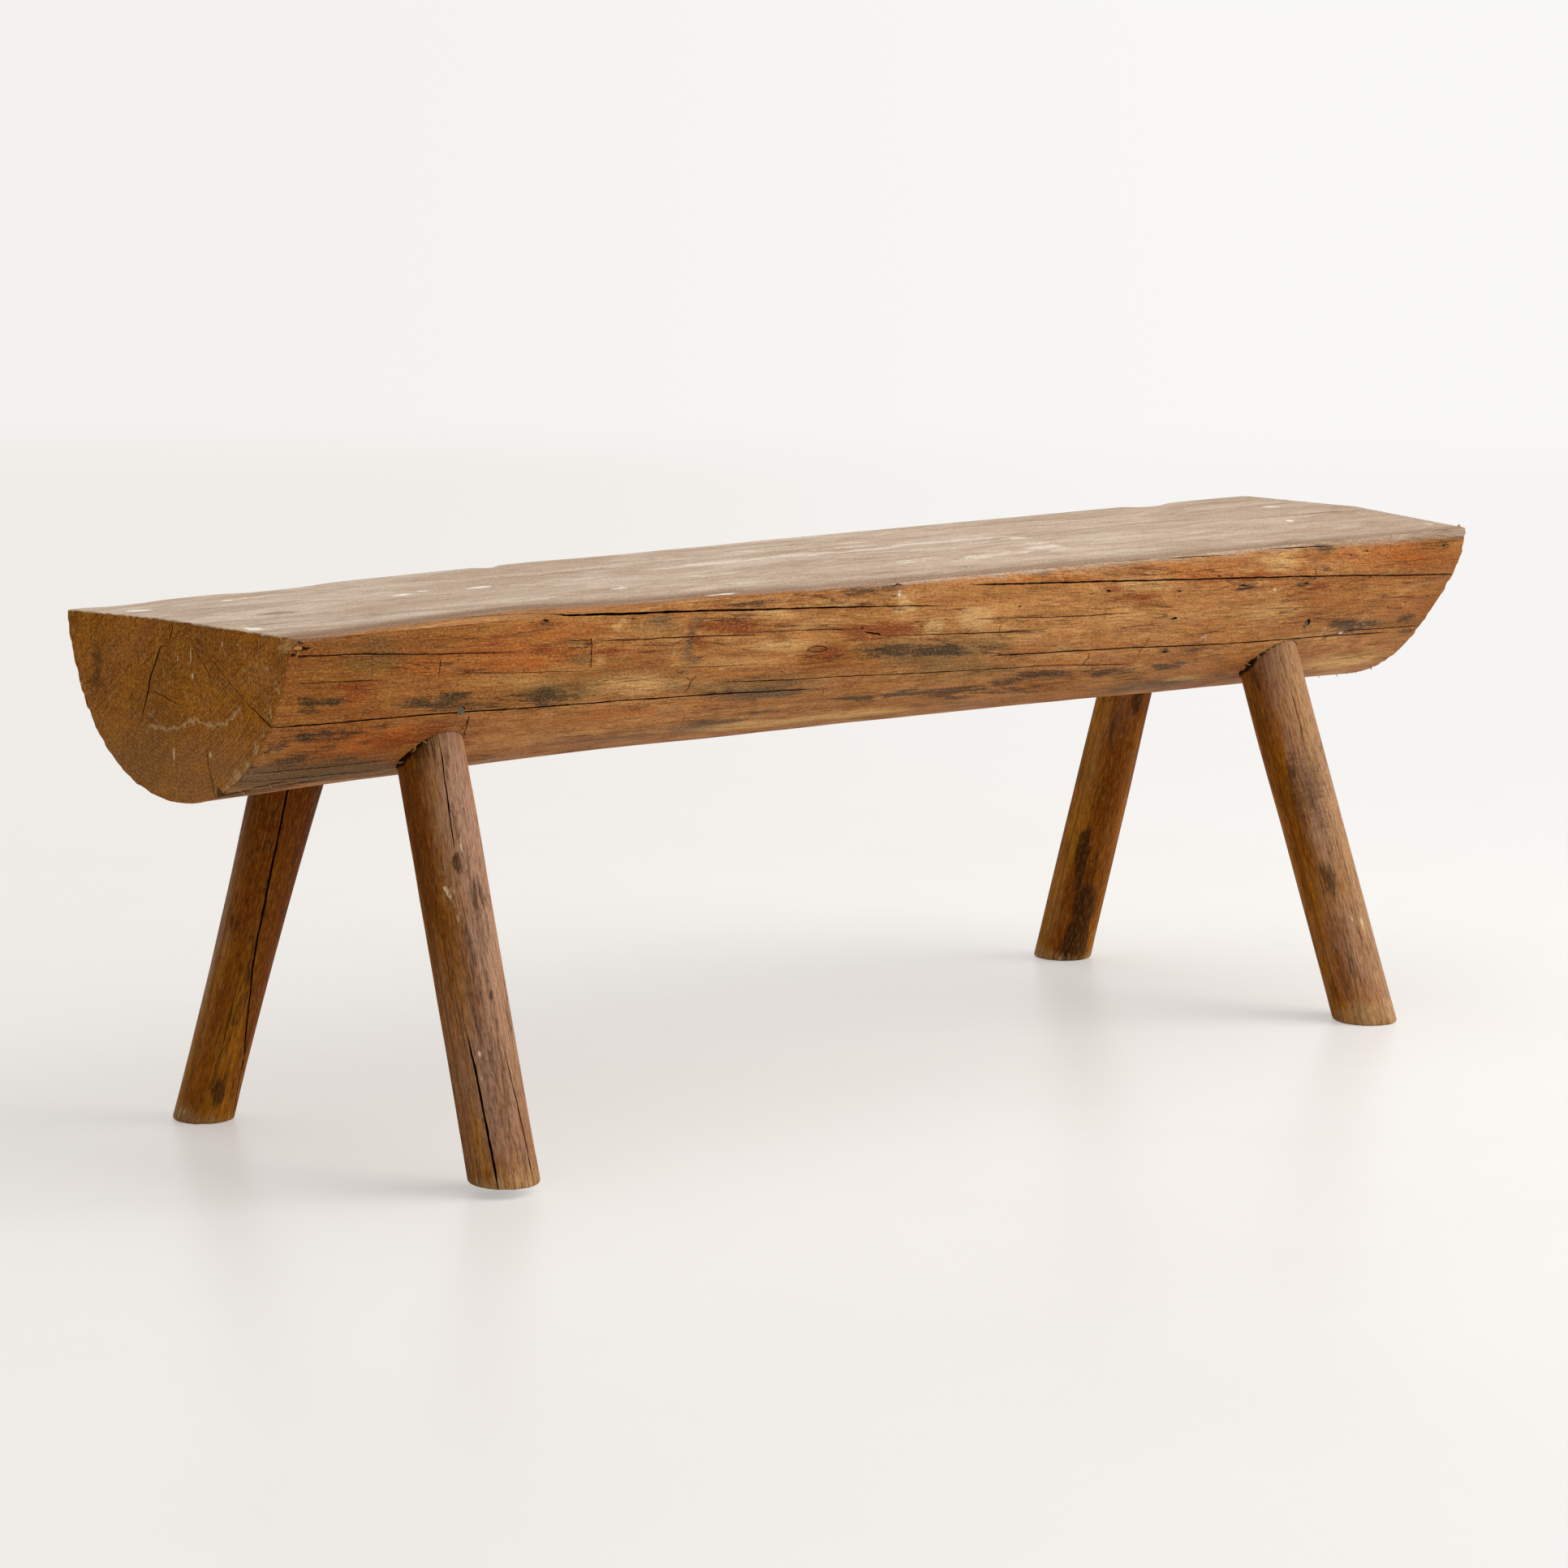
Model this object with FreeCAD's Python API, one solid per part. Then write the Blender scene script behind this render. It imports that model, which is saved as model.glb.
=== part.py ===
import FreeCAD, Part
import math
import os

from FreeCAD import Vector

# A rustic bench: a split log with its flat face up, on four round pole legs. Each leg is driven into
# an angled blind mortise in the log's round side and held there by one nail through the log.
# Lengths are in millimetres and angles in degrees. X runs along the seat to its right end, Y to the
# back, Z up. The origin is on the floor, under the middle of the whole bench.

# The log
seat_height = 454.0
seat_length = 1419.0
log_radius = 146.0
right_end_skew_angle = 0.9
hewing_allowance = 60.0

# The flat top falls away to a worn front edge, most at the right, and a little at the back left.
front_wear_fall = 10.0
front_wear_width_right = 138.0
front_wear_width_left = 28.0
back_wear_fall = 4.0
back_wear_width_left = 125.0
back_wear_length = 500.0

# Sections of the log from left to right. Each has its place along the seat as a share of the length,
# how far the log's centre lies below the flat top and to the back as shares of the radius, and then
# the radius itself, as shares, every 22.5 degrees from the back edge under the log to the front edge.
section_shares = [
    (-0.500, -0.007, 0.027, (1.000, 0.985, 1.005, 1.008, 1.000, 0.990, 0.975, 0.968, 1.004)),
    (-0.366, -0.007, 0.021, (1.000, 0.990, 0.995, 0.990, 0.983, 0.982, 0.978, 0.970, 1.000)),
    (0.000, 0.024, 0.007, (0.995, 0.995, 0.998, 0.993, 0.987, 0.982, 0.968, 0.965, 0.990)),
    (0.345, 0.089, 0.000, (0.990, 1.000, 1.000, 1.000, 0.993, 0.992, 0.958, 0.955, 0.990)),
    (0.500, 0.140, 0.000, (0.990, 1.000, 1.010, 1.012, 0.996, 0.938, 0.880, 0.905, 0.990)),
]

# The legs: where the middle of each one's top end lies, in from the log's end and in from its widest
# point, how it leans out across and along the seat, and its thickness at the foot, halfway up to the
# log and from the log's underside to its top end. The front left one is short of the floor by its gap.
front_left_end_inset = 189.9
front_left_side_inset = 89.4
front_left_lean_across_angle = 16.7
front_left_lean_along_angle = 1.5
front_left_foot_diameter = 57.4
front_left_middle_diameter = 56.6
front_left_top_diameter = 56.4
front_left_foot_gap = 7.9

back_left_end_inset = 179.8
back_left_side_inset = 94.7
back_left_lean_across_angle = 19.0
back_left_lean_along_angle = 2.8
back_left_foot_diameter = 51.4
back_left_middle_diameter = 51.2
back_left_top_diameter = 59.8

front_right_end_inset = 213.0
front_right_side_inset = 98.9
front_right_lean_across_angle = 21.3
front_right_lean_along_angle = 0.0
front_right_foot_diameter = 57.6
front_right_middle_diameter = 58.2
front_right_top_diameter = 58.6

back_right_end_inset = 209.6
back_right_side_inset = 80.0
back_right_lean_across_angle = 17.9
back_right_lean_along_angle = 2.3
back_right_foot_diameter = 56.2
back_right_middle_diameter = 54.0
back_right_top_diameter = 52.2

leg_straight_length = 118.0
foot_rounding = 4.0
leg_end_chamfer = 3.0

# The mortises: wood left over the middle of each one's bottom, and the fit round the leg
mortise_cover = 42.0
mortise_clearance = 0.15

# The nails: round wire nails with flat heads, level and square to the seat's length, each aimed at
# its leg. The drop is from the flat top to the head's middle, and the offset is along the seat from
# the leg's centre line.
nail_length = 63.5
nail_shank_diameter = 3.3
nail_head_diameter = 7.1
nail_head_thickness = 1.4
nail_point_length = 5.0
nail_clearance = 0.1
front_left_nail_drop = 76.5
front_left_nail_offset = 0.4
back_left_nail_drop = 79.0
back_left_nail_offset = -4.0
front_right_nail_drop = 90.0
front_right_nail_offset = 13.8
front_right_nail_sink = 1.5
back_right_nail_drop = 86.0
back_right_nail_offset = 5.0


def log_section(place_share, drop_share, shift_share, rim_shares):
    """One closed section of the whole round log, before it was split."""
    centre_z = seat_height - drop_share * log_radius
    centre_y = shift_share * log_radius
    step = math.pi / (len(rim_shares) - 1)
    split_off_shares = (1.0,) * (len(rim_shares) - 2)
    points = []
    for index, share in enumerate(rim_shares + split_off_shares):
        y = centre_y + share * log_radius * math.cos(index * step)
        z = centre_z - share * log_radius * math.sin(index * step)
        points.append(Vector(place_share * seat_length, y, z))
    curve = Part.BSplineCurve()
    curve.interpolate(Points=points, PeriodicFlag=True)
    wire = Part.Wire(curve.toShape())
    if place_share == section_shares[-1][0]:
        middle = Vector(place_share * seat_length, centre_y, centre_z)
        wire.rotate(middle, Vector(0, 0, 1), -right_end_skew_angle)
    return wire


def slab_above(first, second, third):
    """A slab of air that lies on the plane through three points, listed so that it faces up."""
    normal = (second - first).cross(third - first).normalize()
    along = (second - first).normalize()
    across = normal.cross(along)
    corners = []
    for forward, sideways in ((-1, -1), (1, -1), (1, 1), (-1, 1)):
        corners.append(first + along * (forward * seat_length * 2) + across * (sideways * seat_length))
    return Part.Face(Part.makePolygon(corners + corners[:1])).extrude(normal * hewing_allowance * 4)


def split_log():
    """The half log: lofted round, then hewn flat and worn away along its top edges."""
    log = Part.makeLoft([log_section(*shares) for shares in section_shares], True, False, False, 3)
    end_x = seat_length / 2
    flat = slab_above(Vector(0, 0, seat_height), Vector(end_x, 0, seat_height), Vector(0, end_x, seat_height))
    front_left = Vector(-end_x, -log_radius + front_wear_width_left, seat_height)
    front_right = Vector(end_x, -log_radius + front_wear_width_right, seat_height)
    front_fallen = Vector(end_x, -log_radius, seat_height - front_wear_fall)
    back_left = Vector(-end_x, log_radius - back_wear_width_left, seat_height)
    back_middle = Vector(-end_x + back_wear_length, log_radius, seat_height)
    back_fallen = Vector(-end_x, log_radius, seat_height - back_wear_fall)
    front = slab_above(front_right, front_left, front_fallen)
    back = slab_above(back_left, back_middle, back_fallen)
    return log.cut(flat).cut(front).cut(back)


def pole(foot, axis, radii, reach, chamfer):
    """A round pole from one radius under its foot up to its reach. Its side is a gentle curve through
    the foot's radius, the middle one and the top one, and then straight where it is in the log."""
    foot_radius, middle_radius, top_radius = radii
    entry = reach - leg_straight_length
    side = Part.BSplineCurve()
    side.interpolate([
        Vector(foot_radius, 0, -foot_radius),
        Vector(middle_radius, 0, entry / 2),
        Vector(top_radius, 0, entry),
    ])
    rest = Part.makePolygon([
        Vector(top_radius, 0, entry),
        Vector(top_radius, 0, reach - chamfer),
        Vector(top_radius - chamfer, 0, reach),
        Vector(0, 0, reach),
        Vector(0, 0, -foot_radius),
        Vector(foot_radius, 0, -foot_radius),
    ])
    outline = Part.Wire([side.toShape()] + rest.Edges)
    solid = Part.Face(outline).revolve(Vector(0, 0, 0), Vector(0, 0, 1), 360)
    solid.Placement = FreeCAD.Placement(foot, FreeCAD.Rotation(Vector(0, 0, 1), axis))
    return solid


def cut_foot(leg, gap):
    """Saws the foot level, gap above the floor, and rounds its edge."""
    box = leg.BoundBox
    below = Part.makeBox(box.XLength, box.YLength, gap - box.ZMin, Vector(box.XMin, box.YMin, box.ZMin))
    sawn = leg.cut(below)
    rim = [edge for edge in sawn.Edges if abs(edge.BoundBox.ZMax - gap) < foot_rounding / 2]
    return sawn.makeFillet(foot_rounding, rim)


def nail_shape(head_face, inward, clearance):
    """A nail whose head's outer face is at head_face. With a clearance it is the hole that takes it."""
    shank = nail_shank_diameter / 2 + clearance
    head = nail_head_diameter / 2 + clearance
    outside = nail_head_diameter if clearance else 0
    tip = nail_length + clearance
    outline = [
        Vector(0, 0, -outside),
        Vector(head, 0, -outside),
        Vector(head, 0, nail_head_thickness),
        Vector(shank, 0, nail_head_thickness),
        Vector(shank, 0, nail_length - nail_point_length),
        Vector(0, 0, tip),
    ]
    solid = Part.Face(Part.makePolygon(outline + outline[:1])).revolve(Vector(0, 0, 0), Vector(0, 0, 1), 360)
    solid.Placement = FreeCAD.Placement(head_face, FreeCAD.Rotation(Vector(0, 0, 1), inward))
    return solid


def fit_leg(log, to_right, to_back, end_inset, side_inset, across, along, diameters, gap,
            nail_drop, offset, sink):
    """Makes a leg and its nail, and returns them with the log cut to take both. The leg's corner of
    the bench is to_right and to_back, each 1 or -1."""
    top_x = to_right * (seat_length / 2 - end_inset)
    top_y = to_back * (log_radius - side_inset)
    top_end = Vector(top_x, top_y, seat_height - mortise_cover)
    slope_x = -to_right * math.tan(math.radians(along))
    slope_y = -to_back * math.tan(math.radians(across))
    axis = Vector(slope_x, slope_y, 1).normalize()
    reach = top_end.z / axis.z
    foot = top_end - axis * reach
    radii = [diameter / 2 for diameter in diameters]
    leg = cut_foot(pole(foot, axis, radii, reach, leg_end_chamfer), gap)
    wide_radii = [radius + mortise_clearance for radius in radii]
    mortise = pole(foot, axis, wide_radii, reach + mortise_clearance, leg_end_chamfer)

    nail_height = seat_height - nail_drop
    outward = Vector(0, to_back, 0)
    aim = foot + axis * (nail_height / axis.z) + Vector(offset, 0, 0)
    wood = log.common(Part.makeLine(aim, aim + outward * (log_radius * 2))).BoundBox
    surface_y = wood.YMax if to_back > 0 else wood.YMin
    head_face = Vector(aim.x, surface_y, nail_height) - outward * sink
    nail = nail_shape(head_face, -outward, 0)
    nail_hole = nail_shape(head_face, -outward, nail_clearance)
    return leg.cut(nail_hole), nail, log.cut(mortise).cut(nail_hole)


seat_log = split_log()
leg_front_left, nail_front_left, seat_log = fit_leg(
    seat_log, -1, -1, front_left_end_inset, front_left_side_inset,
    front_left_lean_across_angle, front_left_lean_along_angle,
    (front_left_foot_diameter, front_left_middle_diameter, front_left_top_diameter),
    front_left_foot_gap, front_left_nail_drop, front_left_nail_offset, 0)
leg_back_left, nail_back_left, seat_log = fit_leg(
    seat_log, -1, 1, back_left_end_inset, back_left_side_inset,
    back_left_lean_across_angle, back_left_lean_along_angle,
    (back_left_foot_diameter, back_left_middle_diameter, back_left_top_diameter),
    0, back_left_nail_drop, back_left_nail_offset, 0)
leg_front_right, nail_front_right, seat_log = fit_leg(
    seat_log, 1, -1, front_right_end_inset, front_right_side_inset,
    front_right_lean_across_angle, front_right_lean_along_angle,
    (front_right_foot_diameter, front_right_middle_diameter, front_right_top_diameter),
    0, front_right_nail_drop, front_right_nail_offset, front_right_nail_sink)
leg_back_right, nail_back_right, seat_log = fit_leg(
    seat_log, 1, 1, back_right_end_inset, back_right_side_inset,
    back_right_lean_across_angle, back_right_lean_along_angle,
    (back_right_foot_diameter, back_right_middle_diameter, back_right_top_diameter),
    0, back_right_nail_drop, back_right_nail_offset, 0)

pieces = {
    "seat_log": seat_log,
    "leg_front_left": leg_front_left,
    "leg_back_left": leg_back_left,
    "leg_front_right": leg_front_right,
    "leg_back_right": leg_back_right,
    "nail_front_left": nail_front_left,
    "nail_back_left": nail_back_left,
    "nail_front_right": nail_front_right,
    "nail_back_right": nail_back_right,
}

# The bench is set down with the origin under the middle of all its pieces.
whole = Part.makeCompound(list(pieces.values())).optimalBoundingBox()
to_origin = Vector(-whole.Center.x, -whole.Center.y, -whole.ZMin)

os.makedirs("parts", exist_ok=True)
for name, shape in pieces.items():
    shape.translate(to_origin)
    shape.exportStep(os.path.join("parts", name + ".step"))
    print(name, shape.ShapeType, shape.isValid(), len(shape.Solids), round(shape.Volume))
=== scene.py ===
import math

import bmesh
import bpy
import mathutils
from mathutils.bvhtree import BVHTree
import numpy as np
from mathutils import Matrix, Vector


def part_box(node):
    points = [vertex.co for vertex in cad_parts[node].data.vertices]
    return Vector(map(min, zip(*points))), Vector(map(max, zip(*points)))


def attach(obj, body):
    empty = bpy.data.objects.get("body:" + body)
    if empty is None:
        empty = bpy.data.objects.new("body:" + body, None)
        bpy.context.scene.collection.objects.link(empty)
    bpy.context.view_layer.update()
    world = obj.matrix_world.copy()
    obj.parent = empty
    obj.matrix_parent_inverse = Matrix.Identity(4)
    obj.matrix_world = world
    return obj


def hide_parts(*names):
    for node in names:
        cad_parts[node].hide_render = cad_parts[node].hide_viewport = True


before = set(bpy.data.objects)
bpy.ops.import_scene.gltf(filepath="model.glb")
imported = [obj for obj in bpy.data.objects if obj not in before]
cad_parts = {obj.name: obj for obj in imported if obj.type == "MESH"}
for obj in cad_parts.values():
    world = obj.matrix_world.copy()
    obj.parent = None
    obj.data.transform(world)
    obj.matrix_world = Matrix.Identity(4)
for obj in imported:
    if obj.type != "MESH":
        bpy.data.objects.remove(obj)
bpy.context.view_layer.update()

# The seat: half of a pine log, peeled, split and hewn flat on top, and sawn off at both ends. It is one
# piece of bare wood, grey with weather above and orange with age below. The legs are driven into it
# from underneath, and a nail through its side holds each. Sizes are in millimetres, as on the drawing.
MM = 0.001


def tone(red, green, blue):
    """A colour as a paint maker reads it, 0 to 255."""
    levels = [c / 255 for c in (red, green, blue)]
    return [c / 12.92 if c <= 0.04045 else ((c + 0.055) / 1.055) ** 2.4 for c in levels] + [1.0]


class Finish:
    """A material that is put together from nodes. paints says which channels of the mesh's paints carry
    which kinds of mark."""

    def __init__(self, name, paints=()):
        self.material = bpy.data.materials.new(name)
        self.material.use_nodes = True
        self.tree = self.material.node_tree
        self.tree.nodes.clear()
        self.paints = dict(paints)
        self.way = None

    def node(self, kind, inputs=(), out=0, **settings):
        """Adds a node, sets or links its inputs, and gives back one of its outputs."""
        node = self.tree.nodes.new("ShaderNode" + kind)
        for key, value in settings.items():
            setattr(node, key, value)
        for key, value in dict(inputs).items():
            if isinstance(value, bpy.types.NodeSocket):
                self.tree.links.new(value, node.inputs[key])
            else:
                node.inputs[key].default_value = value
        return node.outputs[out] if len(node.outputs) else None

    def painted(self, kind):
        """How strongly the mesh is painted with one kind of mark."""
        paint = next(name for name, kinds in self.paints.items() if kind in kinds)
        channel = self.paints[paint].index(kind)
        if channel == 3:
            return self.node("Attribute", out="Alpha", attribute_name=paint)
        return self.node("SeparateColor", {0: self.node("Attribute", attribute_name=paint)}, channel)

    def sum(self, operation, a, b=0.0, c=0.0):
        return self.node("Math", {0: a, 1: b, 2: c}, operation=operation)

    def part(self, value, share):
        return self.sum("MULTIPLY", value, share)

    def vector(self, operation, a, b=(0.0, 0.0, 0.0), out=0):
        return self.node("VectorMath", {0: a, 1: b}, out, operation=operation)

    def axis(self, vector, number):
        return self.node("SeparateXYZ", {0: vector}, number)

    def pattern(self, scale, detail=4.0, roughness=0.6, distortion=0.0, way=None):
        """Noise that repeats scale times in a metre each way, so that it can be drawn out."""
        stretched = self.vector("MULTIPLY", self.way if way is None else way, [*scale, 1.0][:3])
        noise = {"Vector": stretched, "Scale": 1.0, "Detail": detail, "Roughness": roughness}
        return self.node("TexNoise", {**noise, "Distortion": distortion})

    def follow_grain(self, scale, reach):
        """Turns the noises along the grain, which sways across a little, as it does in wood."""
        grain = self.node("Attribute", out="Vector", attribute_name="grain")
        sway = self.part(self.sum("SUBTRACT", self.pattern(scale, 2.0, way=grain), 0.5), reach)
        self.way = self.vector("ADD", grain, self.node("CombineXYZ", {1: sway}))

    def rise(self, value, low, high):
        """0 at low and 1 at high, smooth between."""
        return self.node("MapRange", {0: value, 1: low, 2: high}, interpolation_type="SMOOTHSTEP")

    def mix(self, share, first, second, blend="MIX"):
        inputs = {0: share, 6: first, 7: second}
        return self.node("Mix", inputs, 2, data_type="RGBA", blend_type=blend)

    def coated(self, colour, coats):
        """Coats of colour over one another: (where it lies, how strongly, colour). A coat that ends in
        "MULTIPLY" only tints what is under it."""
        for cover, share, coat, *blend in coats:
            coat = tone(*coat)
            if blend:
                coat = self.mix(1.0, colour, coat, *blend)
            colour = self.mix(self.part(cover, share), colour, coat)
        return colour

    def ragged(self, cover, noise, reach, soft):
        """A patch's cover broken up by noise, so that its edge follows the grain."""
        shifted = self.sum("MULTIPLY_ADD", self.sum("SUBTRACT", noise, 0.5), reach, cover)
        return self.rise(shifted, 0.5 - soft, 0.5 + soft)

    def marked(self, kind, noise, reach, soft):
        return self.ragged(self.painted(kind), noise, reach, soft)

    def hairlines(self, scale, width, way=None):
        """Thin lines along the grain: 1 on the line and 0 off it."""
        level = self.pattern(scale, 3.0, 0.5, way=way)
        return self.rise(self.sum("ABSOLUTE", self.sum("SUBTRACT", level, 0.5)), width, 0.0)

    def surface(self, colour, roughness, bumps, depth, gloss, strength=0.9, metallic=0.0):
        """Ends the material. roughness is a number, or a noise with its two ends; bumps are (noise,
        share), and depth is how deep they go, in metres."""
        if isinstance(roughness, tuple):
            noise, low, high = roughness
            roughness = self.node("MapRange", {0: noise, 1: 0.3, 2: 0.7, 3: low, 4: high})
        height = 0.0
        for noise, share in bumps:
            height = self.sum("MULTIPLY_ADD", noise, share, height)
        normal = self.node("Bump", {"Strength": strength, "Distance": depth, "Height": height})
        look = {"Base Color": colour, "Roughness": roughness, "Normal": normal}
        look = {**look, "Specular IOR Level": gloss, "Metallic": metallic}
        self.node("OutputMaterial", {"Surface": self.node("BsdfPrincipled", look)})
        return self.material


# What each channel of the log's paints stands for.
log_paints = {
    "stains": ("dark", "red", "green", "pale"),
    "tones": ("orange", "weathered", "grey", "fleck"),
    "wear": ("grime_and_shade", "white", "torn", "age"),
}


def bare_pine():
    """The log's peeled side and hewn top."""
    f = Finish("bare_weathered_pine", log_paints)
    f.follow_grain((2.2, 14.0), 0.012)
    bands = f.pattern((1.7, 26.0), 3.0)
    streaks = f.pattern((7.0, 150.0), 7.0, 0.72, 0.3)
    threads = f.pattern((24.0, 440.0), 5.0, 0.72, 0.2)
    fibres = f.pattern((45.0, 1100.0), 3.0)
    mottle = f.pattern((13.0, 44.0), 7.0, 0.66, 0.6)
    specks = f.pattern((70.0, 330.0), 5.0, 0.66)
    edges = f.pattern((26.0, 210.0), 9.0, 0.78, 0.7)
    blots = f.pattern((17.0, 90.0), 9.0, 0.74, 1.0)
    patch = f.pattern((8.0, 30.0), 6.0, 0.62, 1.2)
    flakes = f.pattern((20.0, 64.0), 8.0, 0.7, 1.4)
    dashes = f.pattern((34.0, 150.0), 7.0, 0.7, 0.6)
    hairs = f.part(f.hairlines((3.4, 60.0), 0.012), f.rise(mottle, 0.46, 0.58))
    age = f.painted("age")
    side = f.mix(f.rise(bands, 0.38, 0.62), tone(198, 131, 66), tone(224, 161, 94))
    side = f.coated(side, [
        (f.rise(mottle, 0.45, 0.66), 0.55, (160, 100, 48)),
        (f.rise(mottle, 0.47, 0.32), 0.45, (224, 170, 104)),
        (f.rise(patch, 0.53, 0.57), 0.5, (178, 118, 70)),
        (f.rise(patch, 0.45, 0.41), 0.5, (172, 124, 60)),
        (f.rise(flakes, 0.57, 0.60), 0.5, (232, 184, 118)),
        (f.rise(flakes, 0.42, 0.39), 0.5, (146, 92, 42)),
        (age, 0.85, (138, 73, 6)),
        (f.marked("orange", blots, 1.8, 0.4), 0.8, (200, 108, 36)),
        (f.marked("green", blots, 1.6, 0.4), 0.85, (134, 104, 54)),
        (f.marked("grey", blots, 1.4, 0.36), 0.9, (112, 88, 62)),
        (f.marked("pale", edges, 1.6, 0.4), 0.9, (234, 188, 122)),
        (f.rise(streaks, 0.49, 0.64), 0.40, (128, 74, 30)),
        (f.rise(streaks, 0.45, 0.32), 0.34, (222, 168, 98)),
        (f.rise(threads, 0.50, 0.64), 0.45, (112, 64, 30)),
        (f.rise(specks, 0.57, 0.68), 0.55, (92, 50, 22)),
        (f.marked("red", edges, 3.4, 0.30), 0.85, (144, 68, 12)),
        (f.marked("dark", edges, 3.6, 0.30), 0.86, (62, 46, 28)),
        (f.rise(dashes, 0.63, 0.70), 0.75, (72, 44, 24)),
        (hairs, 0.75, (62, 32, 12)),
        (age, 0.7, (255, 240, 118), "MULTIPLY"),
    ])
    broad = f.pattern((6.0, 26.0), 7.0, 0.68, 0.8)
    wisps = f.pattern((5.0, 62.0), 7.0, 0.72, 0.5)
    scuffs = f.pattern((20.0, 80.0), 9.0, 0.78, 0.9)
    top = f.mix(f.rise(broad, 0.36, 0.62), tone(222, 204, 184), tone(198, 174, 150))
    top = f.coated(top, [
        (f.rise(wisps, 0.50, 0.64), 0.32, (166, 140, 114)),
        (f.rise(scuffs, 0.52, 0.66), 0.34, (176, 148, 120)),
        (f.rise(threads, 0.52, 0.68), 0.22, (142, 114, 90)),
        (f.rise(wisps, 0.44, 0.30), 0.34, (238, 226, 208)),
        (age, 0.85, (134, 94, 60)),
        (f.marked("white", scuffs, 3.4, 0.2), 0.85, (244, 232, 214)),
        (f.marked("dark", scuffs, 2.0, 0.3), 0.6, (112, 92, 78)),
        (f.hairlines((3.0, 40.0), 0.008), 0.35, (116, 88, 66)),
    ])
    grit = f.pattern((300.0, 620.0), 5.0, 0.8)
    wood = f.coated(f.mix(f.marked("weathered", edges, 1.3, 0.32), side, top), [
        (f.rise(grit, 0.49, 0.60), 0.62, (190, 162, 142), "MULTIPLY"),
        (f.rise(grit, 0.49, 0.38), 0.18, (244, 216, 172)),
        (f.rise(fibres, 0.46, 0.66), 0.40, (160, 128, 104), "MULTIPLY"),
        (f.marked("fleck", specks, 1.4, 0.2), 0.9, (250, 243, 230)),
    ])
    torn_wood = f.mix(f.rise(threads, 0.42, 0.58), tone(206, 160, 98), tone(162, 108, 54))
    wood = f.mix(f.painted("torn"), wood, torn_wood)
    # The cut faces are darkened: grime in the cracks, and painted shade in the hollows of the checks,
    # mortises and nail holes.
    wood = f.coated(wood, [(f.painted("grime_and_shade"), 1.0, (44, 22, 9))])
    bumps = [(streaks, 0.9), (fibres, 0.25), (threads, -0.4), (specks, -0.35), (hairs, -0.5)]
    return f.surface(wood, (mottle, 0.50, 0.72), bumps, 0.0018, 0.10)


# The heart of the log shows at the top edge of its ends: (how far back, how high). On the left end lies
# dust, along a line of (how far back, how high) and in flecks, which have two half widths as well.
heart = (11.5, 456.0)
dust_curve = [
    (-78, 400), (-67, 388), (-52, 379), (-34, 376), (-13, 377.5), (1, 371), (22, 367), (36, 367), (50, 363),
]
dust_flecks = [
    (13, 348, 1.5, 6.5), (-34.5, 352.5, 1.8, 2.6), (-11, 428, 0.8, 7), (-13, 412, 1.4, 3), (-52, 441, 0.8, 3),
    (-72, 442, 1.0, 1.0), (6, 424, 0.7, 3),
]
dust_low = 360
dust_rise = 42
ring_width = 3.307


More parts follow.
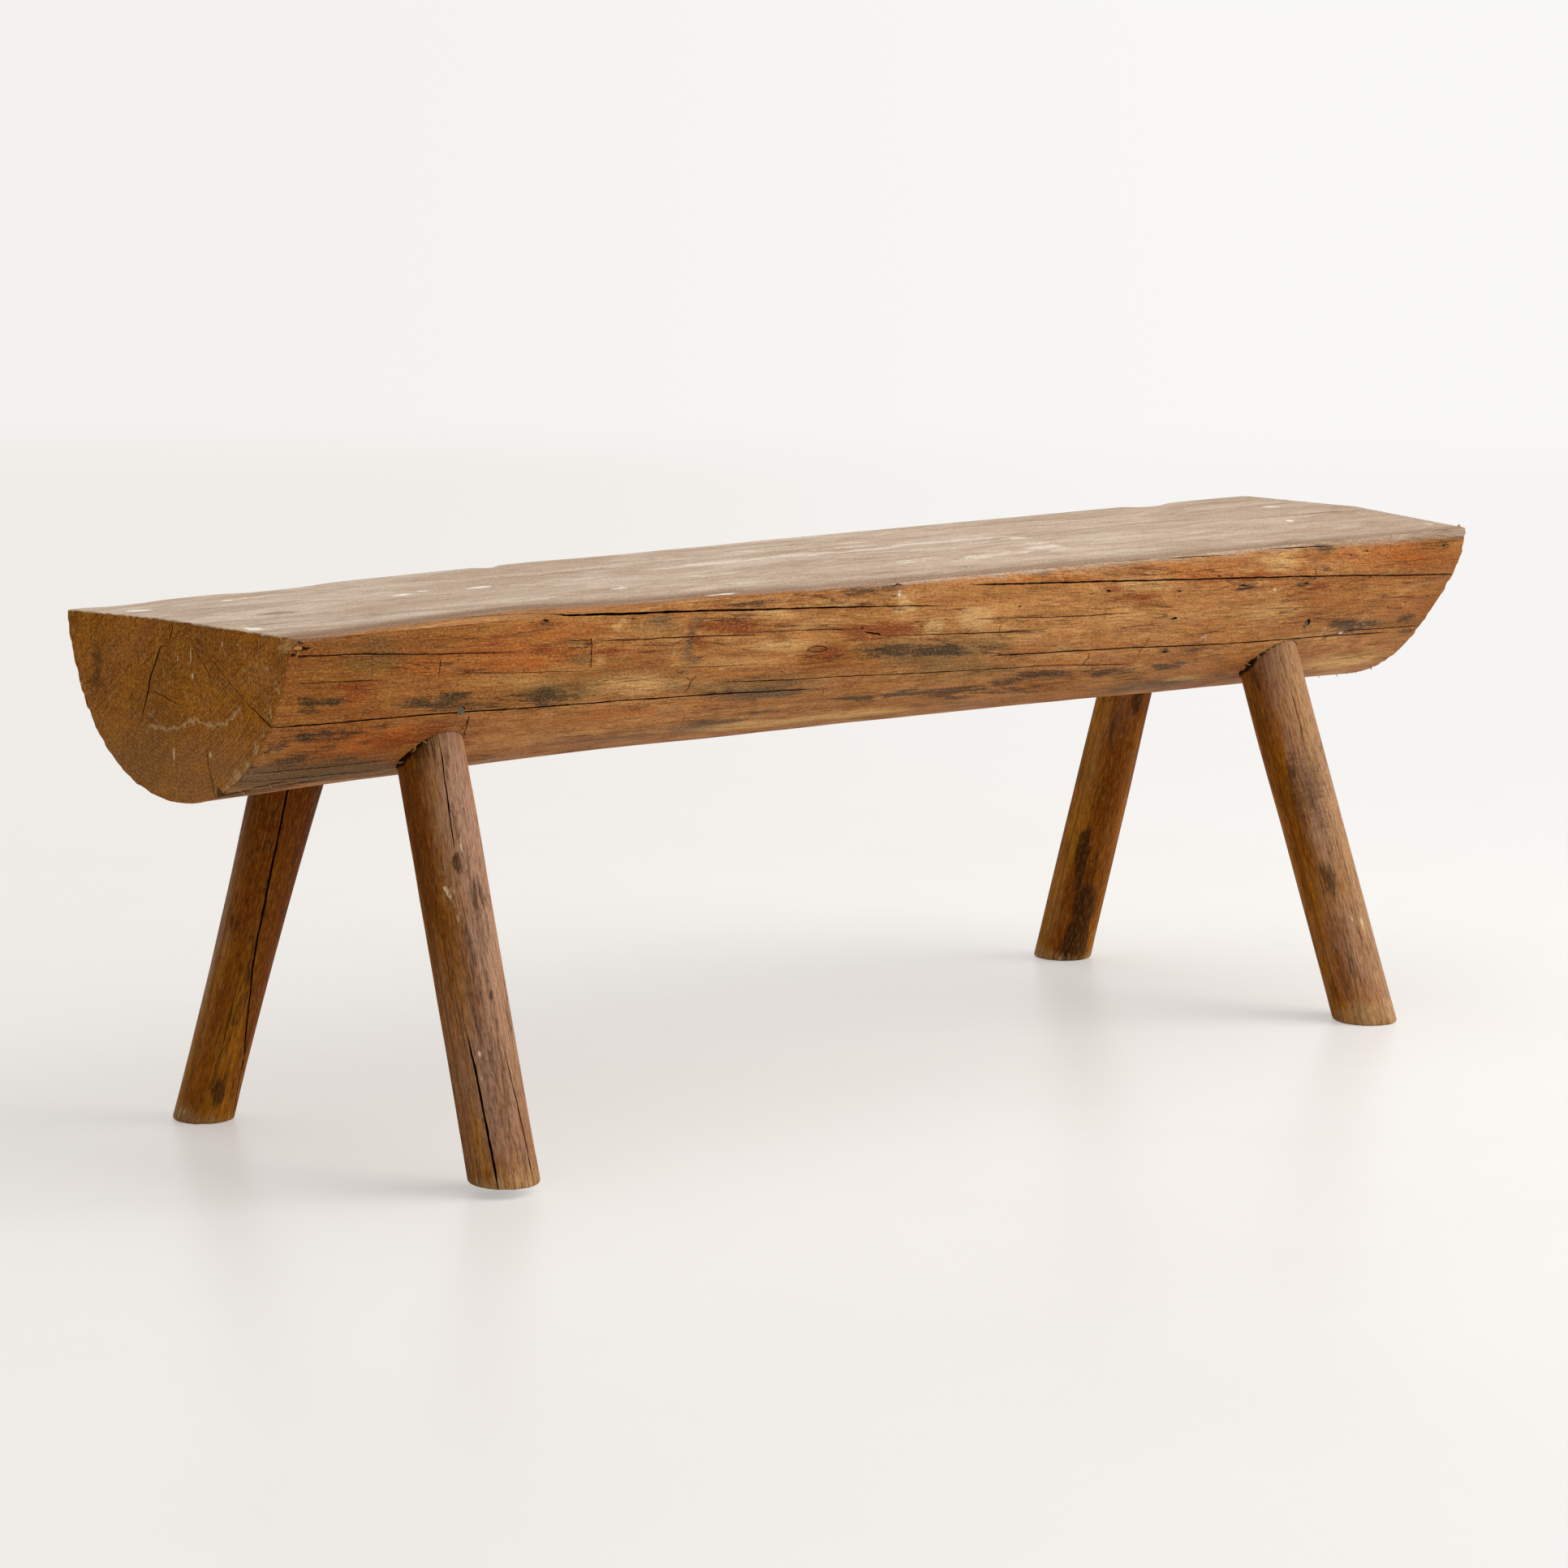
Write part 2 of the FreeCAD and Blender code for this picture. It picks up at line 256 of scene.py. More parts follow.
def end_grain():
    """The sawn ends: growth rings about the heart, pores, saw marks and dust."""
    f = Finish("sawn_end_grain", log_paints)
    place = f.node("TexCoord", out="Object")
    from_heart = f.vector("SUBTRACT", place, (0.0, heart[0] * MM, heart[1] * MM))
    f.way = f.vector("MULTIPLY", from_heart, (0.0, 1.0, 1.0))

    def spread(scale, *noise):
        return f.pattern((1.0, scale, scale), *noise)

    blotches = spread(34.0, 8.0, 0.72, 0.8)
    clouds = spread(9.0, 5.0)
    grit = spread(330.0, 5.0, 0.76)
    crumbs = spread(640.0, 4.0, 0.8)
    radius = f.vector("LENGTH", f.way, out="Value")
    swayed = f.sum("MULTIPLY_ADD", spread(14.0, 2.0), 0.012, radius)
    rings = f.sum("SINE", f.part(swayed, 2 * math.pi / (ring_width * MM)))
    angle = f.sum("ARCTAN2", f.axis(f.way, 1), f.axis(f.way, 2))
    rays = f.pattern((16.0, 30.0), 3.0, way=f.node("CombineXYZ", {0: radius, 1: angle}))
    saw = f.node("VectorRotate", {"Vector": f.way, "Angle": 0.7, "Axis": (1.0, 0.0, 0.0)})
    saw_marks = f.pattern((1.0, 30.0, 420.0), way=saw)
    fuzz = f.hairlines((1.0, 150.0, 150.0), 0.022)
    pores = f.hairlines((1.0, 190.0, 190.0), 0.022, f.vector("ADD", f.way, (0.0, 0.3, 0.7)))
    colour = f.mix(f.rise(blotches, 0.38, 0.62), tone(174, 102, 8), tone(204, 126, 26))
    colour = f.coated(colour, [
        (f.rise(clouds, 0.46, 0.64), 0.5, (126, 76, 26)),
        (f.rise(clouds, 0.50, 0.34), 0.5, (176, 108, 62)),
        (f.rise(rings, 0.0, 1.0), 0.13, (84, 44, 10)),
        (f.rise(saw_marks, 0.5, 0.64), 0.45, (84, 46, 16)),
        (f.rise(rays, 0.62, 0.72), 0.4, (70, 36, 12)),
        (f.rise(grit, 0.52, 0.62), 0.75, (78, 42, 12)),
        (f.rise(grit, 0.45, 0.33), 0.62, (230, 170, 80)),
        (f.rise(crumbs, 0.50, 0.60), 0.5, (72, 40, 8)),
        (f.rise(crumbs, 0.45, 0.34), 0.5, (236, 184, 112)),
        (f.marked("dark", blotches, 2.0, 0.3), 0.7, (74, 46, 18)),
        (fuzz, 0.34, (214, 168, 112)),
        (pores, 0.42, (66, 34, 8)),
        (f.rise(f.axis(place, 2), 0.392, 0.335), 0.26, (176, 134, 92)),
    ])

    across = f.axis(place, 1)
    at_left = f.rise(f.axis(place, 0), 0.1, -0.1)
    start, wide = dust_curve[0][0], dust_curve[-1][0] - dust_curve[0][0]
    along = f.node("MapRange", {0: across, 1: start * MM, 2: (start + wide) * MM})
    line = f.node("FloatCurve", {"Value": along})
    points = line.node.mapping.curves[0].points
    for y, z in dust_curve[1:-1]:
        points.new((y - start) / wide, (z - dust_low) / dust_rise)
    for end in (0, -1):
        points[end].location = (-end, (dust_curve[end][1] - dust_low) / dust_rise)
    line.node.mapping.update()
    wriggle = f.part(f.sum("SUBTRACT", spread(150.0, 3.0), 0.5), 0.012)
    up = f.sum("ADD", f.axis(place, 2), wriggle)
    level = f.sum("MULTIPLY_ADD", line, dust_rise * MM, dust_low * MM)
    gap = f.sum("ABSOLUTE", f.sum("SUBTRACT", up, level))
    between = f.part(f.rise(across, -0.077, -0.072), f.rise(across, 0.049, 0.040))
    dust = f.part(f.rise(gap, 0.0030, 0.0), between)
    dust = f.sum("MAXIMUM", f.part(f.part(dust, at_left), 0.72), f.part(f.painted("fleck"), 0.8))
    dust = f.ragged(dust, spread(200.0, 7.0, 0.78, 0.6), 3.0, 0.4)
    colour = f.coated(colour, [(dust, 0.5, (226, 196, 146))])
    for y, z, wide, tall in dust_flecks:
        away = f.vector("SUBTRACT", place, (0.0, y * MM, z * MM))
        away = f.vector("MULTIPLY", away, (0.0, 1 / (wide * MM), 1 / (tall * MM)))
        fleck = f.part(f.rise(f.vector("LENGTH", away, out="Value"), 1.0, 0.6), at_left)
        colour = f.coated(colour, [(f.ragged(fleck, grit, 1.6, 0.3), 0.75, (232, 210, 168))])
    return f.surface(colour, 0.8, [(rings, 0.15), (saw_marks, 0.7), (grit, 0.6)], 0.0012, 0.04)


pine = bare_pine()
ends = end_grain()

# The blank. Each section of the log gives its place along it, how far the log's middle lies below the
# flat top and to the back, and its radius at eight turns from the back edge under to the front edge,
# all as shares of the full length or radius.
seat_height = 454.0
log_radius = 146.0
log_left = -710.65
log_length = 1419.0
log_right = log_left + log_length
heart_back = 4.9
right_end_skew = 0.0157
log_section_shares = [
    (-0.500, -0.007, 0.027, 1.000, 0.985, 1.005, 1.008, 1.000, 0.990, 0.975, 0.968, 1.004),
    (-0.366, -0.007, 0.021, 1.000, 0.990, 0.995, 0.990, 0.983, 0.982, 0.978, 0.970, 1.000),
    (0.000, 0.024, 0.007, 0.995, 0.995, 0.998, 0.993, 0.987, 0.982, 0.968, 0.965, 0.990),
    (0.345, 0.089, 0.000, 0.990, 1.000, 1.000, 1.000, 0.993, 0.992, 0.958, 0.955, 0.990),
    (0.500, 0.140, 0.000, 0.990, 1.000, 1.010, 1.012, 0.996, 0.938, 0.880, 0.905, 0.990),
]
# Bits of the back edge have split off: where, how long to each side, how deep, how far in.
back_edge_dips = [
    (-505, 48, 1.4, 14), (-277, 11, 2.4, 12), (-90, 110, 0.8, 10), (567, 26, 3.0, 18), (-655, 30, 0.8, 9),
]
# Bites out of the right end's rim: how far down the side, how long to each side, how deep.
right_bites = [
    (119, 4, 2.0), (60, 4, 1.4), (167, 3, 2.4), (177, 3, 3.0), (190, 3, 2.6), (199, 3, 3.0), (210, 4, 3.0),
]


def curve_through(places, values, at):
    """A smooth curve through rows of values, given at places, read off at other places."""
    gaps = np.diff(places)
    count = len(places)
    system = np.eye(count)
    bends = np.zeros_like(values)
    for i in range(1, count - 1):
        system[i, i - 1:i + 2] = gaps[i - 1], 2 * (gaps[i - 1] + gaps[i]), gaps[i]
        bends[i] = 6 * ((values[i + 1] - values[i]) / gaps[i] - (values[i] - values[i - 1]) / gaps[i - 1])
    bends = np.linalg.solve(system, bends)
    span = np.clip(np.searchsorted(places, at) - 1, 0, count - 2)
    gap = gaps[span][:, None]
    done = (at - places[span])[:, None]
    curve = 0
    for end, share in ((span, gap - done), (span + 1, done)):
        curve = curve + bends[end] * share**3 / (6 * gap) + (values[end] / gap - bends[end] * gap / 6) * share
    return curve


def hewn_top(x, y):
    """Height of the hewn top: flat, worn down to the front edge and a little at the back left."""
    front_line = -113.1 + 110.0 * (x - log_left) / log_length
    back_line = 25.9 + 125.0 * (x - log_left) / 500.0
    drop = np.maximum((front_line - y) * 10 / 138, (y - back_line) * 4 / 125)
    drop = np.maximum(drop, 0)
    for middle, half_length, depth, reach in back_edge_dips:
        deep = depth * np.exp(-((x - middle) / half_length) ** 4)
        drop = drop + deep * np.clip((y - 150 + reach) / reach, 0, 1.5)
    return seat_height - drop


outline_count = 1600


def log_outline(x):
    """The outline of one section: (closed line as y + iz, its step, length of the round side)."""
    places = np.array([row[0] for row in log_section_shares]) * log_length + (log_left + log_right) / 2
    rows = np.array([row[1:] for row in log_section_shares])
    drop, shift, *rim = curve_through(places, rows, np.clip([x], log_left, log_right))[0]
    full = np.array(rim + [1.0] * 7)
    closed = np.concatenate([full[-4:], full, full[:5]])[:, None]
    turns = np.linspace(math.pi + 0.35, -0.35, 2600)
    steps = np.arange(-4, 21) * math.pi / 8
    radius = curve_through(steps, closed, turns)[:, 0] * log_radius
    y = shift * log_radius + heart_back + radius * np.cos(turns)
    z = seat_height - drop * log_radius - radius * np.sin(turns)
    under = np.nonzero(z <= hewn_top(x, y))[0]
    side = (y + 1j * z)[under[0]:under[-1] + 1]
    over = np.linspace(side[-1].real, side[0].real, 700)[1:]
    line = np.concatenate([side, over + 1j * hewn_top(x, over)])
    length = np.r_[0, np.cumsum(np.abs(np.diff(line)))]
    around = np.arange(outline_count) * length[-1] / outline_count
    return np.interp(around, length, line), length[-1] / outline_count, length[len(side) - 1]


def softened(line, step, reach):
    """The closed line with its corners worn round over so many mm."""
    pitch = np.fft.fftfreq(len(line), step)
    return np.fft.ifft(np.fft.fft(line) * np.exp(-2 * (math.pi * pitch * reach) ** 2))


def worn_outline(x):
    """The outline with its edges worn, the front one most where it is handled and sat on."""
    line, step, side_length = log_outline(x)
    around = np.arange(outline_count) * step
    from_front = np.minimum(around, step * outline_count - around)
    handled = np.interp(x, [-700, -640, -150, 0, 350, 700], [0.25, 1, 1, 0.75, 0.45, 0.25])
    share = np.exp(-(from_front / 22) ** 2) * handled
    share = share + 0.35 * np.exp(-(np.abs(around - side_length) / 14) ** 2)
    return softened(line, step, 0.9) * (1 - share) + softened(line, step, 4.2) * share, step, side_length


def lumps(seed, along, across, length, width=1):
    """Random relief of about -1 to 1, in lumps so long and wide."""
    table = np.random.default_rng(seed).normal(0, 0.45, (97, 389))
    u, v = np.broadcast_arrays(along / length, across / width)
    i, j = np.floor(u).astype(int), np.floor(v).astype(int)
    fu, fv = u - i, v - j
    fu, fv = fu * fu * (3 - 2 * fu), fv * fv * (3 - 2 * fv)
    low = table[i % 97, j % 389] * (1 - fu) + table[(i + 1) % 97, j % 389] * fu
    high = table[i % 97, (j + 1) % 389] * (1 - fu) + table[(i + 1) % 97, (j + 1) % 389] * fu
    return low * (1 - fv) + high * fv


def smooth_step(value, low, high):
    share = np.clip((value - low) / (high - low), 0, 1)
    return share * share * (3 - 2 * share)


def spaced(length, middle_count):
    """Distances along a face: close together near both of its edges, where they are worn round."""
    near = np.array([0, 0.7, 1.5, 2.5, 3.8, 5.5, 8.0])
    middle = np.linspace(near[-1], length - near[-1], middle_count)[1:-1]
    return np.concatenate([near, middle, length - near[::-1]])


side_rows = 118
top_rows = 64
stations = log_left + spaced(log_length, 306)
grain_slope = 0.055

loops, down, side_lengths, round_lengths = [], [], [], []
for x in stations:
    line, step, side_length = worn_outline(x)
    total = step * outline_count
    over = side_length + spaced(total - side_length, top_rows)[1:-1]
    down.append(np.concatenate([spaced(side_length, side_rows), over]))
    loops.append(np.interp(down[-1], np.arange(outline_count + 1) * step, np.append(line, line[0])))
    side_lengths.append([side_length])
    round_lengths.append([total])
loops, down, side_lengths = np.array(loops), np.array(down), np.array(side_lengths)
log_x = np.broadcast_to(stations[:, None], loops.shape)
is_top = down > side_lengths + 0.01

# s is how far a point lies down the round side from the front edge; on the top it is less than 0.
log_s = np.where(is_top, down - np.array(round_lengths), down)
log_across = np.where(is_top, 900 + loops.real, log_s - grain_slope * log_x)


def unit(ways):
    return ways / np.linalg.norm(ways, axis=-1, keepdims=True)


def outward(grid):
    """Unit normals of a grid of points whose rows go round."""
    return unit(np.cross(np.roll(grid, -1, 1) - np.roll(grid, 1, 1), np.gradient(grid, axis=0)))


log_grid = np.stack([log_x, loops.real, loops.imag], -1)
skew_share = np.clip((log_x - log_right + 160) / 160, 0, 1)
log_grid[..., 0] += skew_share * right_end_skew * (loops.real - heart_back)
from_end = np.minimum(log_x - log_left, log_right - log_x)
rim_wear = np.interp(from_end, [0, 0.7, 1.5, 2.5], [1.1, 0.35, 0.1, 0]) * (1 + 0.9 * lumps(11, log_s, 0, 3.1))
rim_rough = np.interp(from_end, [0, 0.7, 1.5, 3.0], [1.0, 0.75, 0.3, 0]) * np.where(is_top, 0.35, 1.0)
for bite_s, half, depth in right_bites:
    near_end = np.clip(1 - (log_right - log_x) / 12, 0, 1)
    log_grid[..., 0] -= depth * np.exp(-((log_s - bite_s) / half) ** 4) * near_end
rim_rough = rim_rough * np.where(log_x < 0, -0.8 * smooth_step(log_s, 40, 110), 1.5)
log_grid[..., 0] += rim_rough * np.clip(lumps(12, log_s, 0, 2.7) + 0.6 * lumps(13, log_s, 0, 9), -1.3, 1.6)
log_out = outward(log_grid)


def rough(along, across, swells):
    """Relief in lumps of several sizes: (seed, height, length, width) of each."""
    return sum(height * lumps(seed, along, across, *size) for seed, height, *size in swells)


hewn = rough(log_x, log_across, [(4, 0.45, 210, 60), (5, 0.16, 90, 11), (6, 0.10, 34, 4.6)])
peeled = rough(log_x, log_across, [(1, 0.95, 150, 46), (2, 0.40, 80, 15), (3, 0.20, 38, 5.2)])
relief = np.where(is_top, hewn, peeled) - 0.35
edge_distance = np.minimum.reduce([np.abs(log_s), np.abs(down - side_lengths), from_end])
relief = relief * np.clip(0.35 + edge_distance / 12, 0, 1)
# The wood is smooth round the two nails in front: how far along and how far down the side they are.
for nail_x, nail_s in ((-521.2, 79.4), (509.2, 88.0)):
    relief = relief * (1 - np.exp(-(((log_x - nail_x) / 16) ** 2 + ((log_s - nail_s) / 9) ** 2)))
log_grid = log_grid + log_out * (relief - rim_wear)[..., None]


def end_rings(rim, skew, end_x, shares, seed):
    """Rings of the sawn end from its rim in to its middle."""
    middle = rim.mean(0)
    rings = []
    for share in shares:
        ring = middle + (rim - middle) * share
        saw = 0.22 * lumps(seed, ring[:, 1], ring[:, 2], 16, 3.5) * (1 - share**8)
        ring[:, 0] = end_x + skew * (ring[:, 1] - heart_back) + saw
        rings.append(ring)
    return np.array(rings)


left_shares = np.r_[0.985, np.linspace(0.965, 0.03, 26)]
right_shares = np.array([0.985, 0.94, 0.86, 0.76, 0.64, 0.50, 0.34, 0.16, 0.03])
left_rings = end_rings(log_grid[0], 0.0, log_left, left_shares, 21)[::-1]
right_rings = end_rings(log_grid[-1], right_end_skew, log_right, right_shares, 22)
log_grid = np.concatenate([left_rings, log_grid, right_rings])
cap = len(left_shares)


def wrapped(field, step=0.0):
    """The field with its first column again past the last, for the faces that close the round."""
    return np.concatenate([field, field[:, :1] + step], 1)


def carry(mesh, kind, corners):
    """Writes the grain or a paint on the corners of a mesh's faces."""
    style, field = ("FLOAT_VECTOR", "vector") if kind == "grain" else ("FLOAT_COLOR", "color")
    layer = mesh.attributes.new(kind, style, "CORNER")
    layer.data.foreach_set(field, corners.astype(np.float32).ravel())


def placed(name, thing):
    """A new object that stands in the scene."""
    piece = bpy.data.objects.new(name, thing)
    bpy.context.scene.collection.objects.link(piece)
    return piece


def skin(name, grid, grain, paints, marks, end_rows, finishes):
    """A closed mesh over a grid whose rows go round. grain and marks have the first column again past
    the last. Faces outside the rows end_rows get the second material."""
    count, rows = grid.shape[:2]
    points = np.concatenate([grid.reshape(-1, 3), grid[:1].mean(1), grid[-1:].mean(1)]) * MM
    i, k = (index.ravel() for index in np.meshgrid(np.arange(count - 1), np.arange(rows), indexing="ij"))
    quad_rows = [(i, k), (i, k + 1), (i + 1, k + 1), (i + 1, k)]
    faces = np.stack([a * rows + b % rows for a, b in quad_rows], -1).tolist()
    around = np.arange(rows)
    last = count - 1
    fans = [(0, around + 1, around), (last, around, around + 1)]
    for number, (row, near, far) in enumerate(fans):
        middle = np.full(rows, count * rows + number)
        faces += np.stack([row * rows + near % rows, row * rows + far % rows, middle], -1).tolist()
    mesh = bpy.data.meshes.new(name)
    mesh.from_pydata(points.tolist(), [], faces)
    none = grain[..., 0] * 0
    layers = {"grain": grain}
    for paint, kinds in paints.items():
        layers[paint] = np.stack([marks.get(kind, none) for kind in kinds], -1)
    for kind, values in layers.items():
        corners = [np.stack([values[a, b] for a, b in quad_rows], 1).reshape(-1, values.shape[-1])]
        for row, near, far in fans:
            three = [values[row, b] for b in (near, far, around)]
            corners.append(np.stack(three, 1).reshape(-1, values.shape[-1]))
        carry(mesh, kind, np.concatenate(corners))
    first, past = end_rows
    slots = np.concatenate([(i < first) | (i >= past), np.ones(2 * rows)]).astype(np.int32)
    for finish in finishes:
        mesh.materials.append(finish)
    mesh.polygons.foreach_set("material_index", slots)
    mesh.update()
    return placed(name, mesh)


elsewhere = 1e4


def patches(marks, along, across, slope):
    """How strongly a list of patches covers each point. A patch is (where along, where across, half its
    length, half its width, strength), and lies along the grain. Points elsewhere get none."""
    cover = np.zeros(np.broadcast(along, across).shape)
    on = np.abs(across) < elsewhere / 2
    level = np.where(on, across, 0)
    along = along + on * (9 * lumps(31, along, level, 34, 9) + 5 * lumps(32, along, level, 15, 4))
    across = across + on * (3.2 * lumps(33, along, level, 42, 11) + 1.8 * lumps(34, along, level, 17, 5))
    for where, middle, half_length, half_width, strength in marks:
        u = (along - where) / half_length
        v = (across - middle - slope * (along - where)) / half_width
        cover = np.maximum(cover, 0.95 * strength * np.exp(-0.7 * (u * u + v * v) ** 1.2))
    return cover


# What weather and time have left on the round side: blue-black stain, red inner bark, orange wood
# under it, a green cast, pale places where it was scraped, and grey. The pale patches low down the side,
# about 150 to 160 mm from the front edge, are painted light from the floor below.
side_marks = {
    "dark": [
        (-674, 89.5, 10, 4, 0.9), (-691, 94, 8, 5, 0.8), (-655, 88, 12, 4, 0.9), (-638, 97, 14, 4, 0.9),
        (-703, 96, 6, 5, 0.7), (-613, 121, 16, 4, 0.7), (-670, 112, 14, 5, 0.8), (-625, 92, 12, 4, 0.8),
        (-600, 86, 12, 3, 0.7), (-645, 106, 12, 4, 0.8), (-690, 112, 10, 4, 0.7), (-612, 104, 10, 3, 0.7),
        (-675, 54, 12, 5, 0.9), (-660, 55, 10, 4, 0.8), (-679, 64, 14, 4, 0.75), (-548, 69, 36, 7, 1.0),
        (-530, 63, 14, 6, 0.95), (150, 138, 60, 8, 0.5), (-438, 75, 28, 8, 1.0), (-505, 75, 22, 6, 0.6),
        (-50, 66, 44, 6, 0.85), (10, 70, 50, 6, 1.0), (60, 75, 30, 5, 0.85), (-53, 123, 26, 5, 0.8),
        (9, 124, 34, 6, 1.0), (64, 126, 42, 6, 1.0), (84, 141, 26, 5, 0.7), (122, 120, 26, 5, 0.95),
        (170, 116, 42, 5, 1.0), (262, 122, 38, 6, 0.75), (338, 124, 22, 5.5, 0.95), (359, 106, 16, 4, 0.7),
        (393, 35, 16, 4, 0.85), (481, 40, 13, 4, 0.9), (585, 100, 36, 8, 0.95), (622, 101, 26, 5, 0.9),
        (671, 102, 18, 6, 0.85), (496, 7, 16, 5, 0.95), (675, 15, 9, 4, 1.0), (-229, 6, 36, 3, 0.65),
        (-96, 5.6, 36, 3.6, 0.8), (-74, 3, 16, 3, 0.7), (48, 72, 30, 5, 0.6), (690, 121, 14, 9, 0.6),
        (510, 28, 6, 2.5, 0.7), (-101, 8, 26, 5, 0.7), (-560, 116, 16, 5, 0.5), (430, 150, 30, 5, 0.4),
        (-250, 112, 30, 4, 0.5), (-160, 128, 26, 5, 0.6), (-330, 98, 20, 3, 0.6), (316, 101.6, 11, 4, 0.7),
        (40, 53, 20, 3, 0.35), (98, 47, 26, 3, 0.55), (-28, 83, 14, 4, 0.5),
    ],
    "red": [
        (-645, 47, 24, 6, 0.8), (-572, 109, 26, 12, 0.8), (-540, 98, 20, 10, 0.8), (-512, 112, 22, 9, 0.8),
        (-251, 25, 40, 6, 1.0), (-279, 37, 13, 4.5, 1.0), (-79, 42, 54, 8, 1.0), (-122, 64, 28, 8, 0.8),
        (157, 13, 24, 3, 0.5), (243, 39, 36, 5.5, 0.85), (404, 27, 26, 4, 0.8), (665, 31, 34, 4, 0.6),
        (499, 47, 28, 4, 0.75), (-502, 19, 26, 5, 0.5), (-381, 37, 24, 5, 0.85), (-440, 30, 60, 6, 0.5),
        (-143, 57, 16, 4, 0.9), (-215, 27, 40, 4, 0.6), (320, 26, 50, 5, 0.4), (600, 44, 60, 6, 0.4),
        (-330, 52, 40, 6, 0.35), (60, 24, 60, 5, 0.35), (207, 27, 12, 6, 0.8), (-420, 86, 30, 5, 0.4),
    ],
    "orange": [
        (-578, 33, 24, 8, 0.7), (-475, 32, 80, 17, 0.68), (-439, 15, 64, 8, 0.6), (144, 8, 100, 7, 0.5),
        (349, 18, 120, 11, 0.55), (605, 20, 110, 15, 0.6), (-335, 104, 70, 11, 0.5), (-600, 100, 70, 16, 0.7),
        (500, 60, 70, 12, 0.35), (-70, 100, 60, 8, 0.25), (170, 100, 40, 5, 0.5), (430, 120, 60, 10, 0.35),
        (-180, 66, 50, 10, 0.3), (660, 70, 50, 18, 0.35), (-620, 107, 30, 9, 0.8), (-575, 96, 30, 10, 0.8),
        (-634, 56, 22, 8, 0.7),
    ],
    "old": [
        (-640, 140, 70, 16, 0.9), (-680, 168, 60, 14, 1.0), (-640, 60, 70, 40, 0.85),
        (-620, 112, 90, 36, 0.9), (650, 22, 70, 26, 0.75), (540, 62, 70, 22, 0.6), (700, 80, 30, 60, 0.6),
        (-110, 68, 50, 16, 0.7), (180, 132, 70, 16, 0.7), (-20, 132, 70, 14, 0.5), (430, 150, 60, 16, 0.4),
        (600, 50, 60, 16, 0.4),
    ],
    "green": [
        (62, 66, 34, 11, 0.75), (-395, 70, 30, 14, 0.8), (-624, 26, 34, 13, 0.7), (-412, 43, 14, 9, 0.85),
        (-3, 72, 92, 17, 0.8), (-430, 68, 44, 12, 0.7), (-201, 90, 84, 12, 0.9), (356, 106, 16, 6, 0.7),
        (60, 95, 90, 16, 0.7), (-315, 62, 60, 10, 0.3), (-680, 30, 30, 16, 0.45), (-90, 118, 90, 14, 0.35),
        (-329, 15, 24, 8, 0.75), (320, 104, 20, 8, 0.3),
    ],
    # The pale patches about 150 to 160 down the side are painted light from the floor below; the others are
    # scraped places.
    "pale": [
        (-124, 12.5, 44, 4, 0.6), (175, 8, 46, 4.5, 0.6), (437, 18, 26, 8, 0.9), (-165, 54, 30, 5, 0.8),
        (-150, 154, 66, 9, 1.1), (-40, 156, 80, 10, 1.05), (625, 160, 60, 14, 1.0), (380, 150, 26, 6, 0.8),
        (50, 160, 60, 8, 0.4), (-376, 14, 4, 6, 1.0), (-334, 71, 52, 10, 0.75), (-217, 17, 60, 5, 0.6),
        (186, 25.2, 5, 2.4, 1.0), (-150, 32, 50, 8, 0.55), (250, 25, 60, 10, 0.55), (-470, 56, 60, 10, 0.45),
        (-400, 125, 70, 12, 0.4), (-49, 21, 11, 9, 1.4), (-5, 45, 11, 7, 1.5), (42, 42, 17, 8, 1.4),
        (443, 64, 46, 12, 0.6), (-184, 48, 40, 5, 0.85), (-390, 48, 8, 6, 0.7), (-240, 60, 60, 6, 0.5),
        (110, 66, 60, 12, 0.35), (250, 62, 80, 14, 0.35), (-20, 12, 60, 5, 0.4), (380, 18, 60, 6, 0.4),
        (-350, 20, 40, 5, 0.4), (300, 84, 60, 8, 0.3), (200, 150, 80, 8, 0.3),
    ],
    "grey": [
        (-290, 36, 9, 26, 0.8), (-297, 78, 16, 8, 0.7), (-223, 141, 56, 13, 0.85), (-323, 146, 86, 12, 0.6),
        (-640, 140, 90, 18, 1.2), (-183, 99, 60, 9, 1.0), (340, 158, 80, 16, 0.8), (-122, 150, 40, 8, 0.2),
        (-680, 134, 50, 18, 1.3), (-690, 170, 40, 14, 1.2), (-330, 15, 22, 8, 0.6), (-214, 139, 30, 8, 1.2),
        (670, 20, 30, 10, 0.35), (520, 170, 120, 14, 0.4), (-620, 10, 70, 8, 0.5), (100, 158, 90, 14, 0.5),
        (-520, 160, 120, 16, 0.5),
    ],
    "fleck": [
        (371, 90, 9, 2.4, 0.6), (443, 41, 3, 2.4, 0.62), (446, 47, 2.5, 2.2, 0.62),
        (540, 101, 2.2, 2.2, 0.62), (581, 107, 2.4, 2.4, 0.62), (605, 100, 4, 1.8, 0.7),
        (345, 95, 6, 1.6, 0.5), (-60, 12, 3, 4, 0.5),
    ],
}
